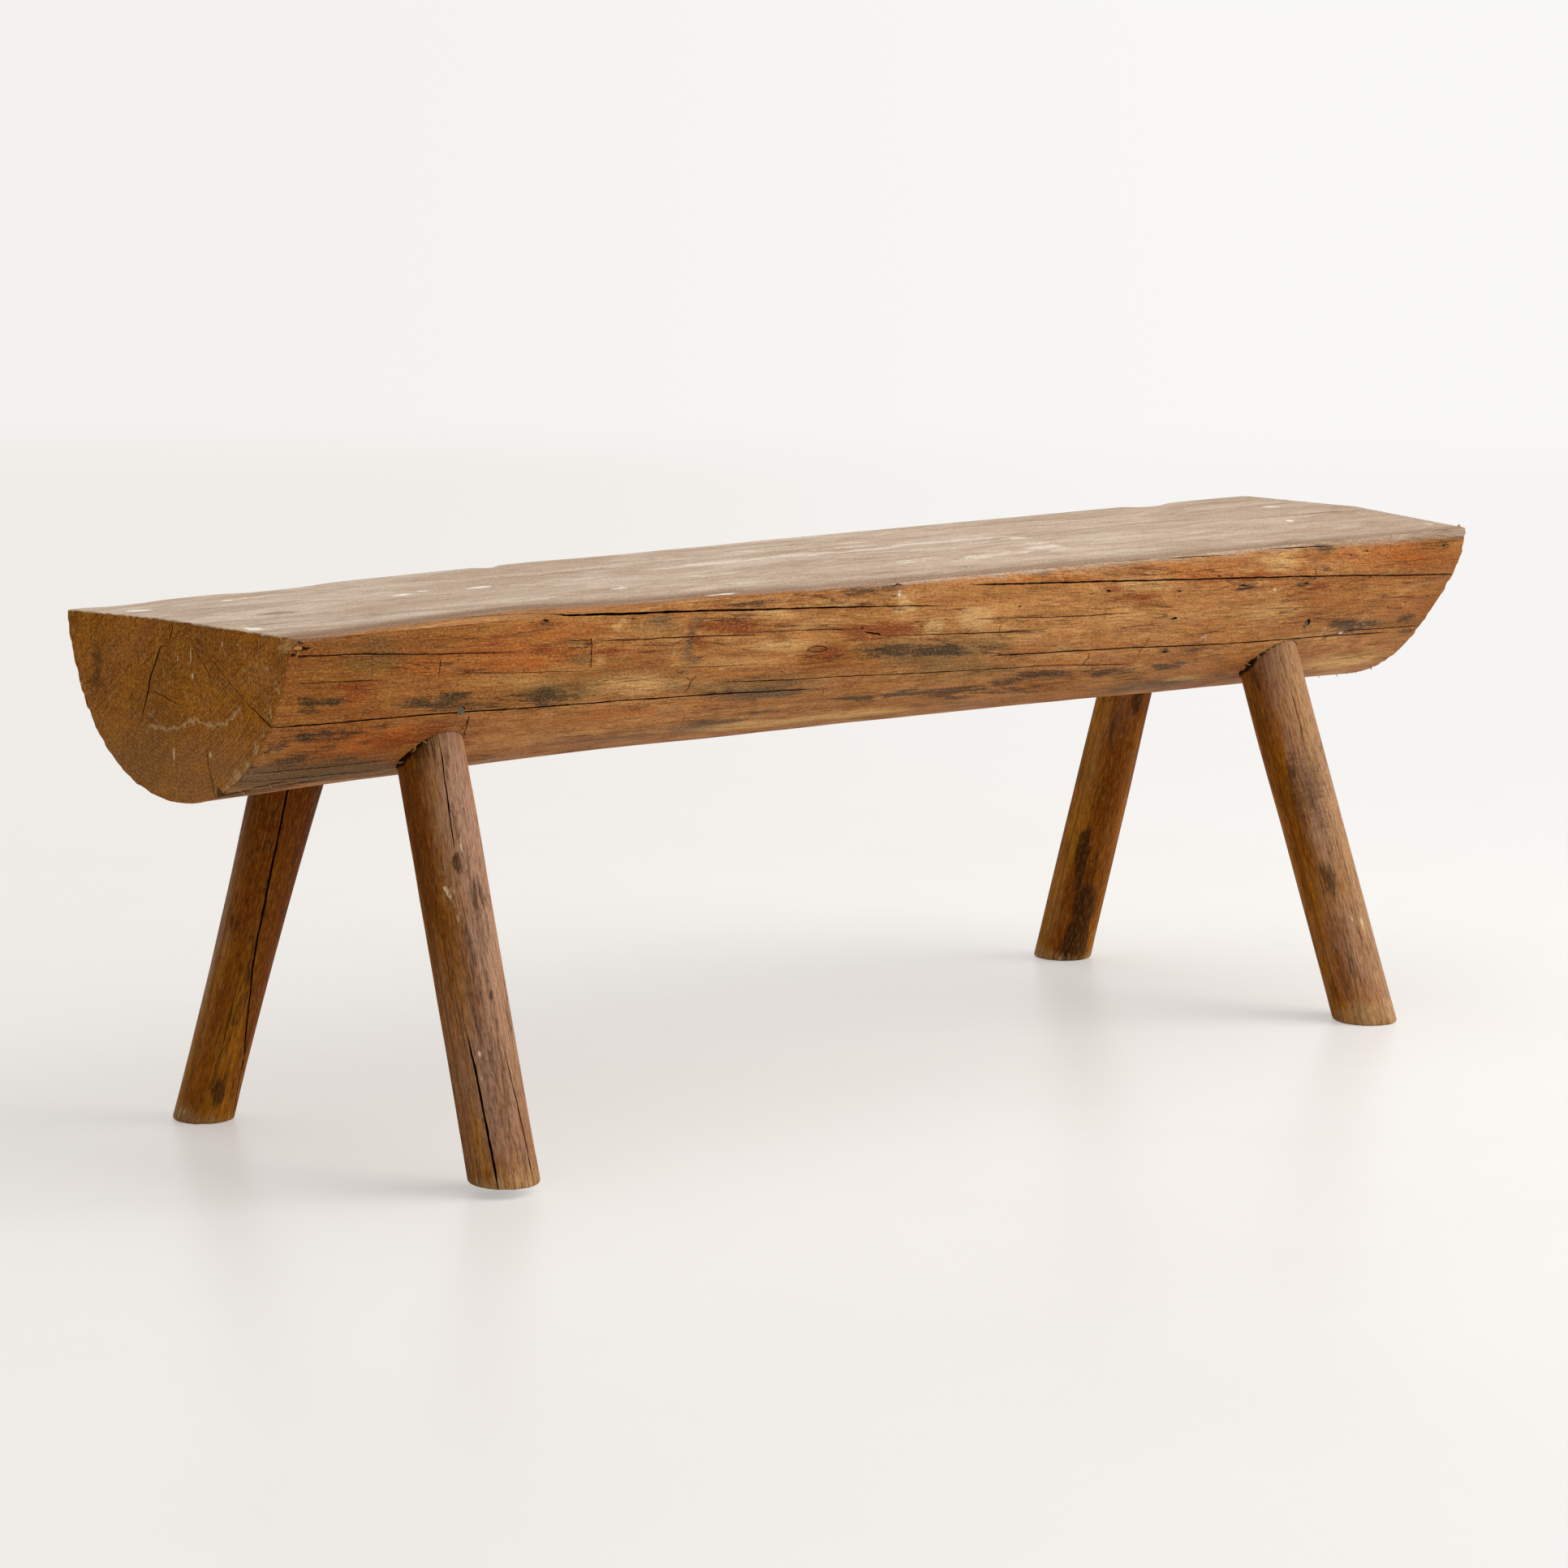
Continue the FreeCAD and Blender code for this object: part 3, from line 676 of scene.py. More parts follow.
# The top is grey-beige with whiter worn streaks along the grain, and darker near the front edge.
top_marks = {
    "dark": [
        (-622, -5, 18, 10, 0.9), (-640, 60, 60, 12, 0.4), (-560, -60, 40, 10, 0.4), (-470, 10, 60, 6, 0.45),
        (-240, 62, 44, 8, 0.45), (400, 25, 130, 5, 0.45), (-676, -60, 20, 6, 0.6), (340, 90, 90, 10, 0.35),
        (-420, 100, 90, 8, 0.35), (560, 100, 60, 10, 0.35),
    ],
    "white": [
        (-120, 37, 44, 9, 1.0), (-70, 33, 56, 8, 1.0), (-10, 36, 40, 8, 0.85), (60, 28, 80, 8, 0.85),
        (150, 32, 66, 8, 0.85), (215, 28, 48, 9, 0.8), (234, 8, 12, 20, 0.8), (222, -32, 16, 20, 0.65),
        (205, -64, 24, 16, 0.7), (130, -68, 60, 10, 0.75), (30, -62, 60, 10, 0.5), (80, 56, 90, 9, 0.5),
        (-190, -35, 70, 16, 0.35), (-380, -60, 90, 20, 0.35), (60, -20, 120, 22, 0.3),
        (-520, 40, 90, 18, 0.35), (-20, 90, 120, 16, 0.35), (300, 60, 120, 20, 0.3), (-170, 36, 26, 5, 0.8),
        (-300, 20, 60, 12, 0.4), (150, 0, 70, 18, 0.4), (-560, 100, 60, 14, 0.4), (-640, 20, 40, 12, 0.35),
    ],
    "fleck": [
        (-684, 92, 9, 6, 1.0), (-590, 100, 7, 4, 0.9), (-697, -72, 6, 9, 1.0), (-457, 29, 10, 5, 0.95),
        (-436, 40, 8, 4, 0.8), (-386, 28, 11, 4.5, 0.95), (-296, -50, 8, 4, 0.85), (640, 53, 7, 5, 1.0),
        (567, -38, 3, 4, 0.95), (680, -112, 4, 4, 0.7), (-250, -122, 20, 2.4, 0.8), (-470, 52, 10, 3, 0.6),
    ],
}
# Marks on the left end, by place across and height: dark stain, and pale dust.
end_marks = {
    "dark": [
        (116, 405, 7, 34, 0.7), (-2, 350, 34, 8, 0.35), (-10, 330, 40, 10, 0.4), (140, 445, 8, 6, 0.6),
        (-125, 432, 10, 14, 0.5), (60, 330, 40, 10, 0.3), (-60, 345, 22, 10, 0.35),
    ],
    "fleck": [
        (-52, 323, 7, 3, 1.6), (-61, 330, 7, 4, 1.8), (-71, 339, 6, 4, 1.6), (-82, 348, 5, 4, 1.4),
        (-95, 362, 4, 6, 1.2), (-112, 388, 2.4, 12, 0.9), (-122, 410, 2.4, 12, 0.8), (-131, 446, 5, 4, 1.0),
        (-95, 425, 22, 12, 0.3), (-60, 410, 26, 10, 0.22), (70, 380, 8, 5, 0.35), (40, 372, 5, 9, 0.35),
        (-104, 360, 4, 16, 0.4), (-56, 438, 3, 8, 0.4),
    ],
}
# The grey of the top ends along a line near the front edge: how far down the side it reaches there, or
# how far in from the edge it stops.
grey_line_x = [-710, -661, -588, -534, -458, -369, -275, -164, -68, 460, 577, 687, 710]
grey_line_reach = [2, -3, -15, -22, -30, -16, -12, -3, 1.5, 3.5, 6.4, 8.5, 9]

x, y = wrapped(log_x), wrapped(loops.real)
s = np.concatenate([log_s, log_s[:, -1:] * 0 - 0.02], 1)
on_top = s < -0.01
marks = {kind: patches(table, x, np.where(on_top, elsewhere, s), 0.07) for kind, table in side_marks.items()}
for kind, table in top_marks.items():
    marks[kind] = np.maximum(marks.get(kind, 0), patches(table, x, np.where(on_top, y, elsewhere), 0.0))
marks["fleck"] = 1.3 * marks["fleck"]
past_line = np.interp(x, grey_line_x, grey_line_reach) - s
grey_back = 0.8 * smooth_step(s - side_lengths, -10, 0)
marks["weathered"] = smooth_step(past_line, -11, 10)
marks["weathered"] = np.where(on_top, marks["weathered"], np.maximum(marks["weathered"], grey_back))
front_band = np.exp(-((past_line - 8) / 15) ** 2) * np.interp(x, [-420, -250, 0, 500], [1.0, 0.85, 0.7, 0.8])
# The side darkens towards the left end, most near its top.
darker_left = np.interp(x, [-710, -600, -480, -340, 0], [0.9, 0.75, 0.45, 0.15, 0.0])
darker_left = darker_left * smooth_step(-s, -190, -30)
older_right = np.interp(x, [560, 640, 710], [0.0, 0.25, 0.5])
older_below = 0.34 * smooth_step(s, 90, 165)
age_above = np.maximum(front_band, np.interp(x, [300, 560, 710], [0.0, 0.14, 0.26]))
age_below = np.maximum.reduce([darker_left, older_right, older_below, marks.pop("old")])
marks["age"] = np.where(on_top, age_above, age_below)
left_y, left_z = wrapped(left_rings[..., 1]), wrapped(left_rings[..., 2])
for kind, field in marks.items():
    at_left = patches(end_marks.get(kind, []), left_y, left_z, 0)
    marks[kind] = np.concatenate([at_left, field, np.zeros((len(right_shares), field.shape[1]))])
grain = np.stack([x, wrapped(log_across, 1.0), x * 0], -1) * MM
grain = np.concatenate([np.repeat(grain[:1], cap, 0), grain, np.repeat(grain[-1:], len(right_shares), 0)])
peeled_rows = (cap, cap + len(stations) - 1)
seat_log = skin("split_log_seat", log_grid, grain, log_paints, marks, peeled_rows, (pine, ends))


# The cuts in the log: drying checks that run along it, nicks from an axe, splits in its ends, broken
# corners, and the four angled mortises with the nail holes.
def at_log(x, s):
    """A point of the log's surface and the way out of it: x along, s down the side, in mm."""
    place = np.clip(np.interp(x, stations, np.arange(len(stations))), 0, len(stations) - 1.001)
    first, share = int(place), place - int(place)
    point, out = 0, 0
    for station, weight in ((first, 1 - share), (first + 1, share)):
        order = np.argsort(log_s[station])
        rows = log_s[station][order]
        here, way = ([np.interp(s, rows, column[order]) for column in grid[station].T]
                     for grid in (log_grid[cap:], log_out))
        point = point + weight * np.array(here)
        out = out + weight * np.array(way)
    point[0] = x
    return point, out / np.linalg.norm(out)


def at_top(x, y):
    return np.array([x, y, float(hewn_top(x, y))]), np.array([0.0, 0.0, 1.0])


def at_left_end(y, z):
    return np.array([log_left, y, z]), np.array([-1.0, 0.0, 0.0])


def at_right_end(y, z):
    return np.array([log_right + right_end_skew * (y - heart_back), y, z]), np.array([1.0, 0.0, 0.0])


def square_to(axis):
    """Two directions square to an axis, the first as near to the right as can be."""
    first = unit(np.array([1.0, 0, 0]) - axis[0] * axis)
    return first, np.cross(axis, first)


class Cutter:
    """Wedges, rods and splinters that are cut out of a piece, or joined to it, all at once."""

    def __init__(self, seed):
        self.points = []
        self.faces = []
        self.grains = []
        self.rng = np.random.default_rng(seed)

    def tube(self, rings, grains):
        """A closed tube through rings of points. grains are their places in the wood's grain."""
        count, sides = rings.shape[:2]
        base = len(self.points)
        self.points += rings.reshape(-1, 3).tolist()
        self.grains += np.broadcast_to(grains, rings.shape).reshape(-1, 3).tolist()
        last = base + (count - 1) * sides
        for ring in range(base, last, sides):
            for q in range(sides):
                a, b = ring + q, ring + (q + 1) % sides
                self.faces.append([a, b, b + sides, a + sides])
        self.faces += [list(range(base, base + sides))[::-1], list(range(last, last + sides))]

    def groove(self, place, line, width, depth, fade=28.0, wander=0.22, step=6.0, open_start=False):
        """A wedge along a line on the surface: a drying check, or the nick of a blade. width and depth
        are single sizes or lists of them, one for each point of the line."""
        line = np.array(line, float)
        run = np.r_[0, np.cumsum(np.hypot(*np.diff(line, axis=0).T))]
        count = max(int(run[-1] / step), 3)
        at = np.linspace(0, run[-1], count + 1)
        u, v, widths, depths = (np.interp(at, run, np.broadcast_to(values, len(run)))
                                for values in (line[:, 0], line[:, 1], width, depth))
        jitter = np.convolve(self.rng.normal(0, 1, count + 3), [0.25, 0.5, 0.25], "valid") * wander
        slant = np.hypot(np.gradient(u), np.gradient(v))
        u, v = u - jitter * np.gradient(v) / slant, v + jitter * np.gradient(u) / slant
        from_tip = run[-1] - at if open_start else np.minimum(at, run[-1] - at)
        fading = np.clip(from_tip / fade, 0.06, 1)
        ragged = 1 + 0.12 * self.rng.normal(0, 1, count + 1).clip(-2, 2)
        middle, out = (np.array(found) for found in zip(*[place(a, b) for a, b in zip(u, v)]))
        sideways = unit(np.cross(np.gradient(middle, axis=0), out))
        deep = (depths * np.sqrt(fading))[:, None]
        lean = sideways * (self.rng.normal(0, 0.12) * deep)
        above = 2.2
        mouth = sideways * (widths * fading * ragged / 2)[:, None] * (1 + above / deep)
        lip = middle + out * above
        rings = np.stack([lip + mouth, lip - mouth, middle - out * deep + lean], 1)
        self.tube(rings, np.stack([u, v, u * 0], -1)[:, None])

    def grooves(self, place, table, **style):
        for width, depth, line in table:
            self.groove(place, line, width, depth, **style)

    def rod(self, foot, axis, lengths, radii, sides):
        """A round cutter: rings at lengths along an axis from the foot. radii may differ by the angle."""
        first, second = square_to(axis)
        angles = np.arange(sides) * 2 * math.pi / sides
        ways = np.cos(angles)[:, None] * first + np.sin(angles)[:, None] * second
        lengths = np.array(lengths)[:, None]
        places = np.broadcast_arrays(lengths, angles * 30, 0.0)
        radii = np.broadcast_to(radii, places[0].shape)
        self.tube(foot + axis * lengths[..., None] + ways * radii[..., None], np.stack(places, -1))

    def chip(self, middle, out, along, size, rough):
        """A block whose inner face is torn along the grain. size is (length, width, height above)."""
        out = unit(np.array(out))
        along = np.array(along)
        along = unit(along - out * (along @ out))
        places = np.linspace(-0.5, 0.5, 11)
        u, v = np.meshgrid(places * size[0], places[::-1] * size[1], indexing="ij")
        hump = self.rng.normal(0, 1, u.shape)
        hump = ((hump + np.roll(hump, 1, 0) * 0.8) * rough * 0.6)[:, ::-1]
        flat = np.array(middle) + along * u[..., None] + np.cross(out, along) * v[..., None]
        rings = np.concatenate([flat + out * hump[..., None], (flat + out * size[2])[:, ::-1]], 1)
        grains = np.stack([u, v, u * 0], -1)
        self.tube(rings, np.concatenate([grains, grains[:, ::-1]], 1))

    def strand(self, line, width):
        """A splinter along a line of points, thin at both ends."""
        line = np.array(line, float)
        along = np.gradient(line, axis=0)
        first = unit(np.cross(along, (0.31, 0.52, 0.80)))
        half = (np.sin(np.linspace(0.5, math.pi - 0.12, len(line))) * width / 2)[:, None]
        wide, thick = first * half, unit(np.cross(along, first)) * half * 0.6
        grains = [[[j * 2.0, q * 1.5, 0] for q in range(4)] for j in range(len(line))]
        self.tube(np.stack([line + wide, line + thick, line - wide, line - thick], 1), grains)

    def fibre(self, root, out, length, bend, width=0.7):
        """A torn fibre that stands out of the wood and curls by bend, in radians."""
        aside = unit(np.cross(out, self.rng.normal(0, 1, 3)))
        line = [root - out * 6.0, root - out * 2.0]
        for turn in np.linspace(0, bend, 9):
            line.append(line[-1] + (out * math.cos(turn) + aside * math.sin(turn)) * length / 9)
        self.strand(line, width)

    def cut(self, piece, shade, operation="DIFFERENCE"):
        """Cuts all of it out of the piece. shade is how dark its cut faces are painted, from 0, fresh, to 1:
        grime in the cuts, and painted shade in their hollows.
        """
        mesh = bpy.data.meshes.new("cutter")
        mesh.from_pydata((np.array(self.points) * MM).tolist(), [], self.faces)
        work = bmesh.new()
        work.from_mesh(mesh)
        bmesh.ops.recalc_face_normals(work, faces=work.faces)
        work.to_mesh(mesh)
        work.free()
        corner = np.zeros(len(mesh.loops), np.int32)
        mesh.loops.foreach_get("vertex_index", corner)
        carry(mesh, "grain", (np.array(self.grains) * MM)[corner])
        plain = {"stains": (0, 0, 0, 0.9 * (shade < 0.5)), "tones": (0, 0, 0, 0), "wear": (shade, 0, 1, 1)}
        for kind, value in plain.items():
            carry(mesh, kind, np.tile(value, len(corner)))
        tool = placed("cutter", mesh)
        modifier = piece.modifiers.new("cut", "BOOLEAN")
        modifier.operation = operation
        modifier.solver = "MANIFOLD"
        modifier.object = tool
        result = bpy.data.meshes.new_from_object(piece.evaluated_get(bpy.context.evaluated_depsgraph_get()))
        piece.modifiers.clear()
        piece.data = result
        bpy.data.objects.remove(tool)


# Drying checks: (width, depth, line of (x, s)). Each starts or ends past the log where it runs out.
long_checks = [
    (1.5, [60, 22, 13, 12, 12, 11, 9, 6], [
        (-716, 75), (-658, 77.3), (-610, 78.6), (-523, 80.5), (-459, 83.8), (-353, 87.1), (-241, 93.7),
        (-115, 102),
    ]),
    (1.1, 10, [
        (-238, 80), (-171, 86), (-73, 91.1), (19, 96.9), (122, 101.9), (176, 104.4), (232, 110.4),
        (292, 114.7),
    ]),
    ([1.3, 1.3, 1.4, 1.6, 1.9, 2.2, 1.9, 1.5, 1.2, 1.0], 11, [
        (-545, -26), (-482, -17), (-455, -9), (-432, 0.8), (-402, 2.6), (-371, 5), (-302, 8.2), (-144, 17),
        (-74, 20.9), (6, 26.3),
    ]),
    (1.5, 13, [(21, 9), (134, 14.8), (263, 21.5), (351, 26.2), (467, 32.2), (552, 37.8), (716, 50.2)]),
    (0.8, 7, [(-16, 29.3), (41, 31.2)]),
    (0.9, 8, [(38, 42), (82, 43.6), (145, 47.9), (198, 50.5), (256, 52.5)]),
    (1.0, 8, [(-404, 26.6), (-340, 29.6), (-295, 31.2), (-244, 34.7), (-206, 36.9)]),
    (0.6, 5, [(-486, 24.2), (-430, 25.6)]), (0.7, 6, [(-236, 32.6), (-146, 36.8), (-92, 41.2)]),
    (0.9, 7, [(-74, 49.2), (-25, 51.6), (46, 56.1), (124, 60)]),
    (1.5, 14, [(76, 83), (164, 86.6), (274, 92.3), (343, 97.3), (449, 102.7), (562, 109.2), (660, 118)]),
    (1.2, 12, [(560, 103.5), (638, 110.6), (716, 115.4)]),
    (1.0, 8, [(-716, 12.6), (-676, 15.5), (-628, 17.9), (-563, 23.6), (-495, 27.9), (-474, 28.9)]),
    (0.8, 7, [(-716, 36), (-671, 38.1), (-605, 42.1)]), (0.5, 4, [(-552, 41.6), (-480, 47.6), (-396, 53)]),
    (1.2, 9, [(-716, 125.4), (-632, 130.4), (-552, 133)]), (1.4, 9, [(-690, 141), (-640, 145), (-560, 150)]),
    (1.0, 8, [(-672, 154.6), (-611, 161.4), (-520, 171)]), (0.8, 6, [(268, 1.8), (325, 3.1), (360, 4.5)]),
    (0.9, 6, [(410, 2.1), (460, 3.6), (524, 5.8)]), (0.5, 4, [(300, 63.8), (352, 66)]),
    (0.5, 4, [(-300, 60), (-200, 66)]), (0.5, 4, [(420, 62), (520, 69)]),
    (0.9, 8, [(-330, 176), (-120, 190), (60, 204)]),
    (1.2, 10, [(-716, 214), (-500, 226), (-260, 240), (-20, 252)]),
    (1.0, 9, [(120, 226), (330, 240), (540, 252), (716, 262)]),
    (1.3, 12, [(-600, 300), (-380, 314), (-120, 326), (110, 338)]), (0.8, 6, [(-180, 284), (60, 298)]),
    (1.4, 12, [(716, 346), (480, 336), (200, 322), (80, 316)]),
    (1.1, 9, [(-716, 372), (-560, 380), (-330, 390)]), (0.9, 7, [(300, 392), (520, 402), (716, 410)]),
    (0.8, 6, [(-250, 408), (-40, 414), (150, 424)]),
]
# Checks in the top: the same, with lines of (x, y).
top_checks = [
    (0.8, 6, [(-716, 17.6), (-663, 15.9), (-606, 16.6)]), (0.7, 5, [(-518, 9.1), (-462, 9.8), (-415, 5.8)]),
    (0.6, 4, [(-290, 100), (-266, 74), (-240, 44), (-190, 31)]),
    (1.0, 8, [(288, 23.9), (361, 24.8), (418, 25.5), (500, 26.6), (556, 27.3)]),
    (0.7, 5, [(-254, 30.9), (-198, 31.5)]), (0.8, 6, [(-690, -56), (-640, -60), (-560, -62)]),
    (0.7, 5, [(590, 62), (650, 66), (716, 68)]), (0.6, 4, [(-120, 96), (30, 101), (160, 99)]),
    (0.6, 4, [(330, 92), (470, 95)]), (0.5, 4, [(560, -36), (582, -58)]),
    (0.9, 7, [(716, -20), (600, -16), (520, -14)]),
]
# Nicks across the grain of the side.
side_nicks = [
    (0.9, 3, [(-561, 26), (-558, 34), (-557, 44)]), (0.7, 2, [(-569, 41), (-567, 48)]),
    (0.7, 2, [(-541, 22), (-539, 29)]), (1.0, 4, [(-509, 85), (-507, 93), (-506, 100), (-502, 111)]),
    (0.7, 2.5, [(-514, 96), (-506, 102)]), (1.1, 3, [(-272, 68.4), (-277, 75.2), (-276, 82.7), (-279, 88)]),
    (0.8, 2, [(-286, 70), (-278, 75)]), (0.6, 2, [(76, 46.6), (78, 61.3)]),
    (0.5, 1.5, [(115, 47), (100, 50), (89, 60.7)]), (0.9, 3, [(211, 93), (216, 99), (213, 105), (218, 112)]),
    (0.7, 2, [(246, 99.7), (250, 109.2)]), (0.9, 3, [(284, 105.6), (282, 97), (286, 88), (284, 80.7)]),
    (0.7, 2, [(118, 51.7), (109, 59.4)]), (0.7, 2, [(488, 23), (492, 35)]),
    (1.0, 3.5, [(-404, 22), (-401, 34), (-395, 52)]), (0.6, 2, [(-640, 40), (-636, 52)]),
    (0.6, 2, [(566, 40), (570, 52)]), (0.5, 1.5, [(-18, 96), (-24, 104)]),
    (1.6, 3, [(-90, 43.8), (-76, 46.4), (-68, 49)]), (1.2, 2.5, [(-68, 4.4), (-61, 1.8), (-55, 4.4)]),
    (0.6, 2, [(-111, 101.6), (-103, 114.6)]), (0.8, 2.5, [(-429, 23.6), (-402, 25.6)]),
    (0.6, 2, [(-429, 29.2), (-404, 31)]), (0.8, 2, [(180, 27), (186, 28.6), (192, 27)]),
    (0.7, 2, [(-538, 22), (-537, 29)]), (0.9, 2.5, [(-510, 86), (-508, 95), (-511, 104)]),
    (0.5, 1.5, [(490, 24), (492, 32)]),
]
# Splits in the ends from near the heart out to the bark, as (y, z).
end_splits = [
    (1.3, 14, [(11.5, 460), (12.6, 450), (14, 443), (20.5, 430)]),
    ([0.9, 1.4, 1.7, 1.8, 1.6, 1.3, 1.0], 16, [
        (19, 433), (29, 432), (37, 415.5), (43.8, 404), (45, 395.5), (52, 380), (58.5, 366),
    ]),
    (0.9, 7, [(44.1, 395.5), (30, 393.5), (16.4, 390.6), (4, 387)]),
    ([0.25, 0.35, 0.6, 1.1, 1.3], 9, [
        (-22, 436), (-47.6, 420.6), (-76.1, 401.4), (-108, 384.9), (-124, 376),
    ]),
    (1.0, 12, [(-29, 362), (-33.1, 339.7), (-40, 320), (-42, 306)]),
    (0.6, 5, [(-16.5, 433.4), (-31.9, 419.1), (-38.8, 402)]), (0.5, 4, [(96, 420), (84, 412), (70, 406)]),
    (0.5, 4, [(-98, 441), (-84, 437)]), (0.5, 4, [(120, 395), (104, 401)]),
    (0.5, 4, [(-8, 425), (-22, 404), (-30, 385)]), (1.0, 8, [(156, 435), (149, 435.5), (141, 436.6)]),
    (1.2, 9, [(142, 390), (133, 391.3), (122, 394)]), (1.4, 5, [(-138, 442), (-132, 440), (-127, 443)]),
]
right_splits = [
    (1.5, 14, [(12, 462), (16, 430), (10, 396), (18, 352)]), (1.2, 12, [(-22, 432), (-60, 408), (-102, 386)]),
    (1.4, 13, [(30, 425), (70, 392), (104, 352), (120, 338)]), (1.0, 9, [(-24, 376), (-50, 340), (-66, 322)]),
    (0.8, 8, [(40, 441), (90, 432), (142, 425)]),
]
# A fine crack round a small knot, as a closed line of (x, s).
knot_rim = [(-153, 55.7), (-143, 53.6), (-134, 54.4), (-127, 57.9), (-139, 60), (-153, 55.7)]
# Dark pits of small knots and bruises: (x, s, half length, width, depth).
pits = [
    (310, 64, 5, 3.4, 2.0), (319, 102.3, 7, 3.2, 1.4), (304, 34.7, 5, 1.8, 1.2), (354, 24.1, 2.6, 2.6, 1.4),
    (390, 35.8, 7, 2.4, 1.0), (575, 40, 2.2, 1.8, 1.4), (207, 27.5, 3.4, 3.4, 1.4), (95, 33.7, 3, 1.4, 1.0),
    (482, 40.7, 4.5, 2.4, 1.0), (675, 15.7, 4, 2.4, 1.0), (-540, 30.5, 1.2, 2.0, 1.2), (-455, 4, 4, 2.4, 1.4),
    (432, 40.2, 3, 1.4, 1.0), (-95, 39.6, 3, 1.6, 1.0), (-22, 44, 3, 1.4, 1.0), (560, 14, 3, 1.4, 1.0),
]
# Notches at the left front corner, a flat one in the front, and the hollow under the left end: the same
# as the checks, with how far the tips fade, how much it wanders, how finely it is cut, and whether it
# starts past the edge.
corner_notches = [
    ([0.8, 1.4, 0.7], 2.0, [(-704, 2.4), (-700, 3.0), (-696, 3.6)], 2, 0.6, 1.0),
    ([2.0, 3.6, 2.8, 1.2], 3.2, [(-702, 7.0), (-698, 8.6), (-694, 8.2), (-690, 9)], 2, 1.2, 1.0),
    ([2.8, 3.0, 1.4], 3, [(-709, 13), (-706, 12), (-703, 12.6)], 2, 0.8, 1.2),
    ([1.0, 1.8, 1.0], 2.0, [(-702, 14.6), (-698, 15.2), (-692, 15.4)], 2, 0.4, 1.2),
]
flat_notch = [(5.2, 2.2, [(-428, 26.4), (-403, 28.4)], 1.5, 0.25, 2.5)]
end_hollow = [
    ([9, 8, 3], [8, 7, 4], [(-716, 167), (-700, 162), (-684, 157)], 6, 1.0, 2.5, True),
    ([2, 4, 1.5], [3, 4, 2], [(-690, 154), (-672, 151), (-655, 148)], 4, 0.8, 2.5),
    ([2, 3, 1.5], [3, 3, 2], [(-676, 162), (-640, 158), (-600, 155)], 8, 0.8, 2.5),
]
# Broken corners: (middle, way out, way along, size, roughness).
left_corner = [((-706, -137, 449), (-0.55, -0.55, 0.62), (0.8, -0.3, 0.4), (32, 24, 16), 2.0)]
other_corners = [
    ((707, -132, 449.5), (0.75, -0.4, 0.62), (0, 1, 0), (14, 12, 20), 0.8),
    ((-711.5, -52, 314), (-0.5, -0.2, -0.84), (0, 1, 0.2), (36, 20, 12), 1.2),
]

in_end = {"fade": 16, "wander": 0.6, "step": 3.0}
# The faces of the checks and nicks are painted dark: grime, and painted shade down in the cracks.
checks = Cutter(5)
checks.grooves(at_log, long_checks)
checks.cut(seat_log, 1.0)
checks = Cutter(6)
checks.grooves(at_top, top_checks, fade=30)
checks.grooves(at_left_end, end_splits, **in_end)
checks.cut(seat_log, 1.0)
nicks = Cutter(7)
nicks.grooves(at_log, side_nicks, fade=4, wander=0.7, step=1.6)
nicks.grooves(at_right_end, right_splits, **in_end)
nicks.groove(at_log, knot_rim, 0.8, 1.4, fade=2, wander=0.4, step=1.8)
for x, s, half, width, depth in pits:
    pit = [(x - half, s - 0.3), (x, s), (x + half, s + 0.3)]
    nicks.groove(at_log, pit, width, depth, fade=half, wander=0.5, step=1.0)
nicks.cut(seat_log, 1.0)


def break_out(seed, chips, notches, shade):
    """Breaks chips and notches out of the log."""
    broken = Cutter(seed)
    for chip in chips:
        broken.chip(*chip)
    for width, depth, line, *style in notches:
        broken.groove(at_log, line, width, depth, *style)
    broken.cut(seat_log, shade)


break_out(8, left_corner, [], 0.1)
break_out(14, [], corner_notches, 0.8)
break_out(18, [], flat_notch, 0.2)
break_out(9, other_corners, [], 0.35)
break_out(15, [], end_hollow, 0.85)
log_skin = BVHTree.FromObject(seat_log, bpy.context.evaluated_depsgraph_get())

# The mortises. Each leg has where its middle line meets the floor, its slopes to the right and to the
# back, and its diameters at the foot, halfway to the log and in the log. Splinters have broken out of
# the mouth where it went in: (angle, how deep, half their width in degrees).
leg_top = 412.0
straight_length = 118.0
mortise_gap = 0.25
legs = {
    "front_left": {
        "foot": (-531.5, -175.3), "slope": (0.0262, 0.3000), "diameters": (57.4, 56.6, 56.4),
        "torn": (-176, 1.6, 34),
    },
    "back_left": {
        "foot": (-551.0, 198.1), "slope": (0.0489, -0.3443), "diameters": (51.4, 51.2, 59.8),
        "torn": (140, 2.0, 40),
    },
    "front_right": {
        "foot": (495.4, -202.8), "slope": (0.0, 0.3899), "diameters": (57.6, 58.2, 58.6),
        "torn": (180, 4.6, 30),
    },
    "back_right": {
        "foot": (515.4, 204.0), "slope": (-0.0402, -0.3230), "diameters": (56.2, 54.0, 52.2),
        "torn": (60, 2.0, 40),
    },
}


def leg_lines(leg):
    """(foot, axis, two directions across, length to its top end, radius by length)."""
    foot = np.array([*leg["foot"], 0.0])
    axis = unit(np.array([*leg["slope"], 1.0]))
    reach = leg_top / axis[2]
    entry = reach - straight_length
    low, middle, high = (d / 2 for d in leg["diameters"])
    bend = np.polyfit([-low, entry / 2, entry], [low, middle, high], 2)

    def radius(length):
        return np.where(length < entry, np.polyval(bend, length), high)

    return foot, axis, *square_to(axis), reach, radius


def turned_from(degrees, middle):
    """How far round from middle, between half a turn back and half a turn on."""
    return (degrees - middle + 180) % 360 - 180


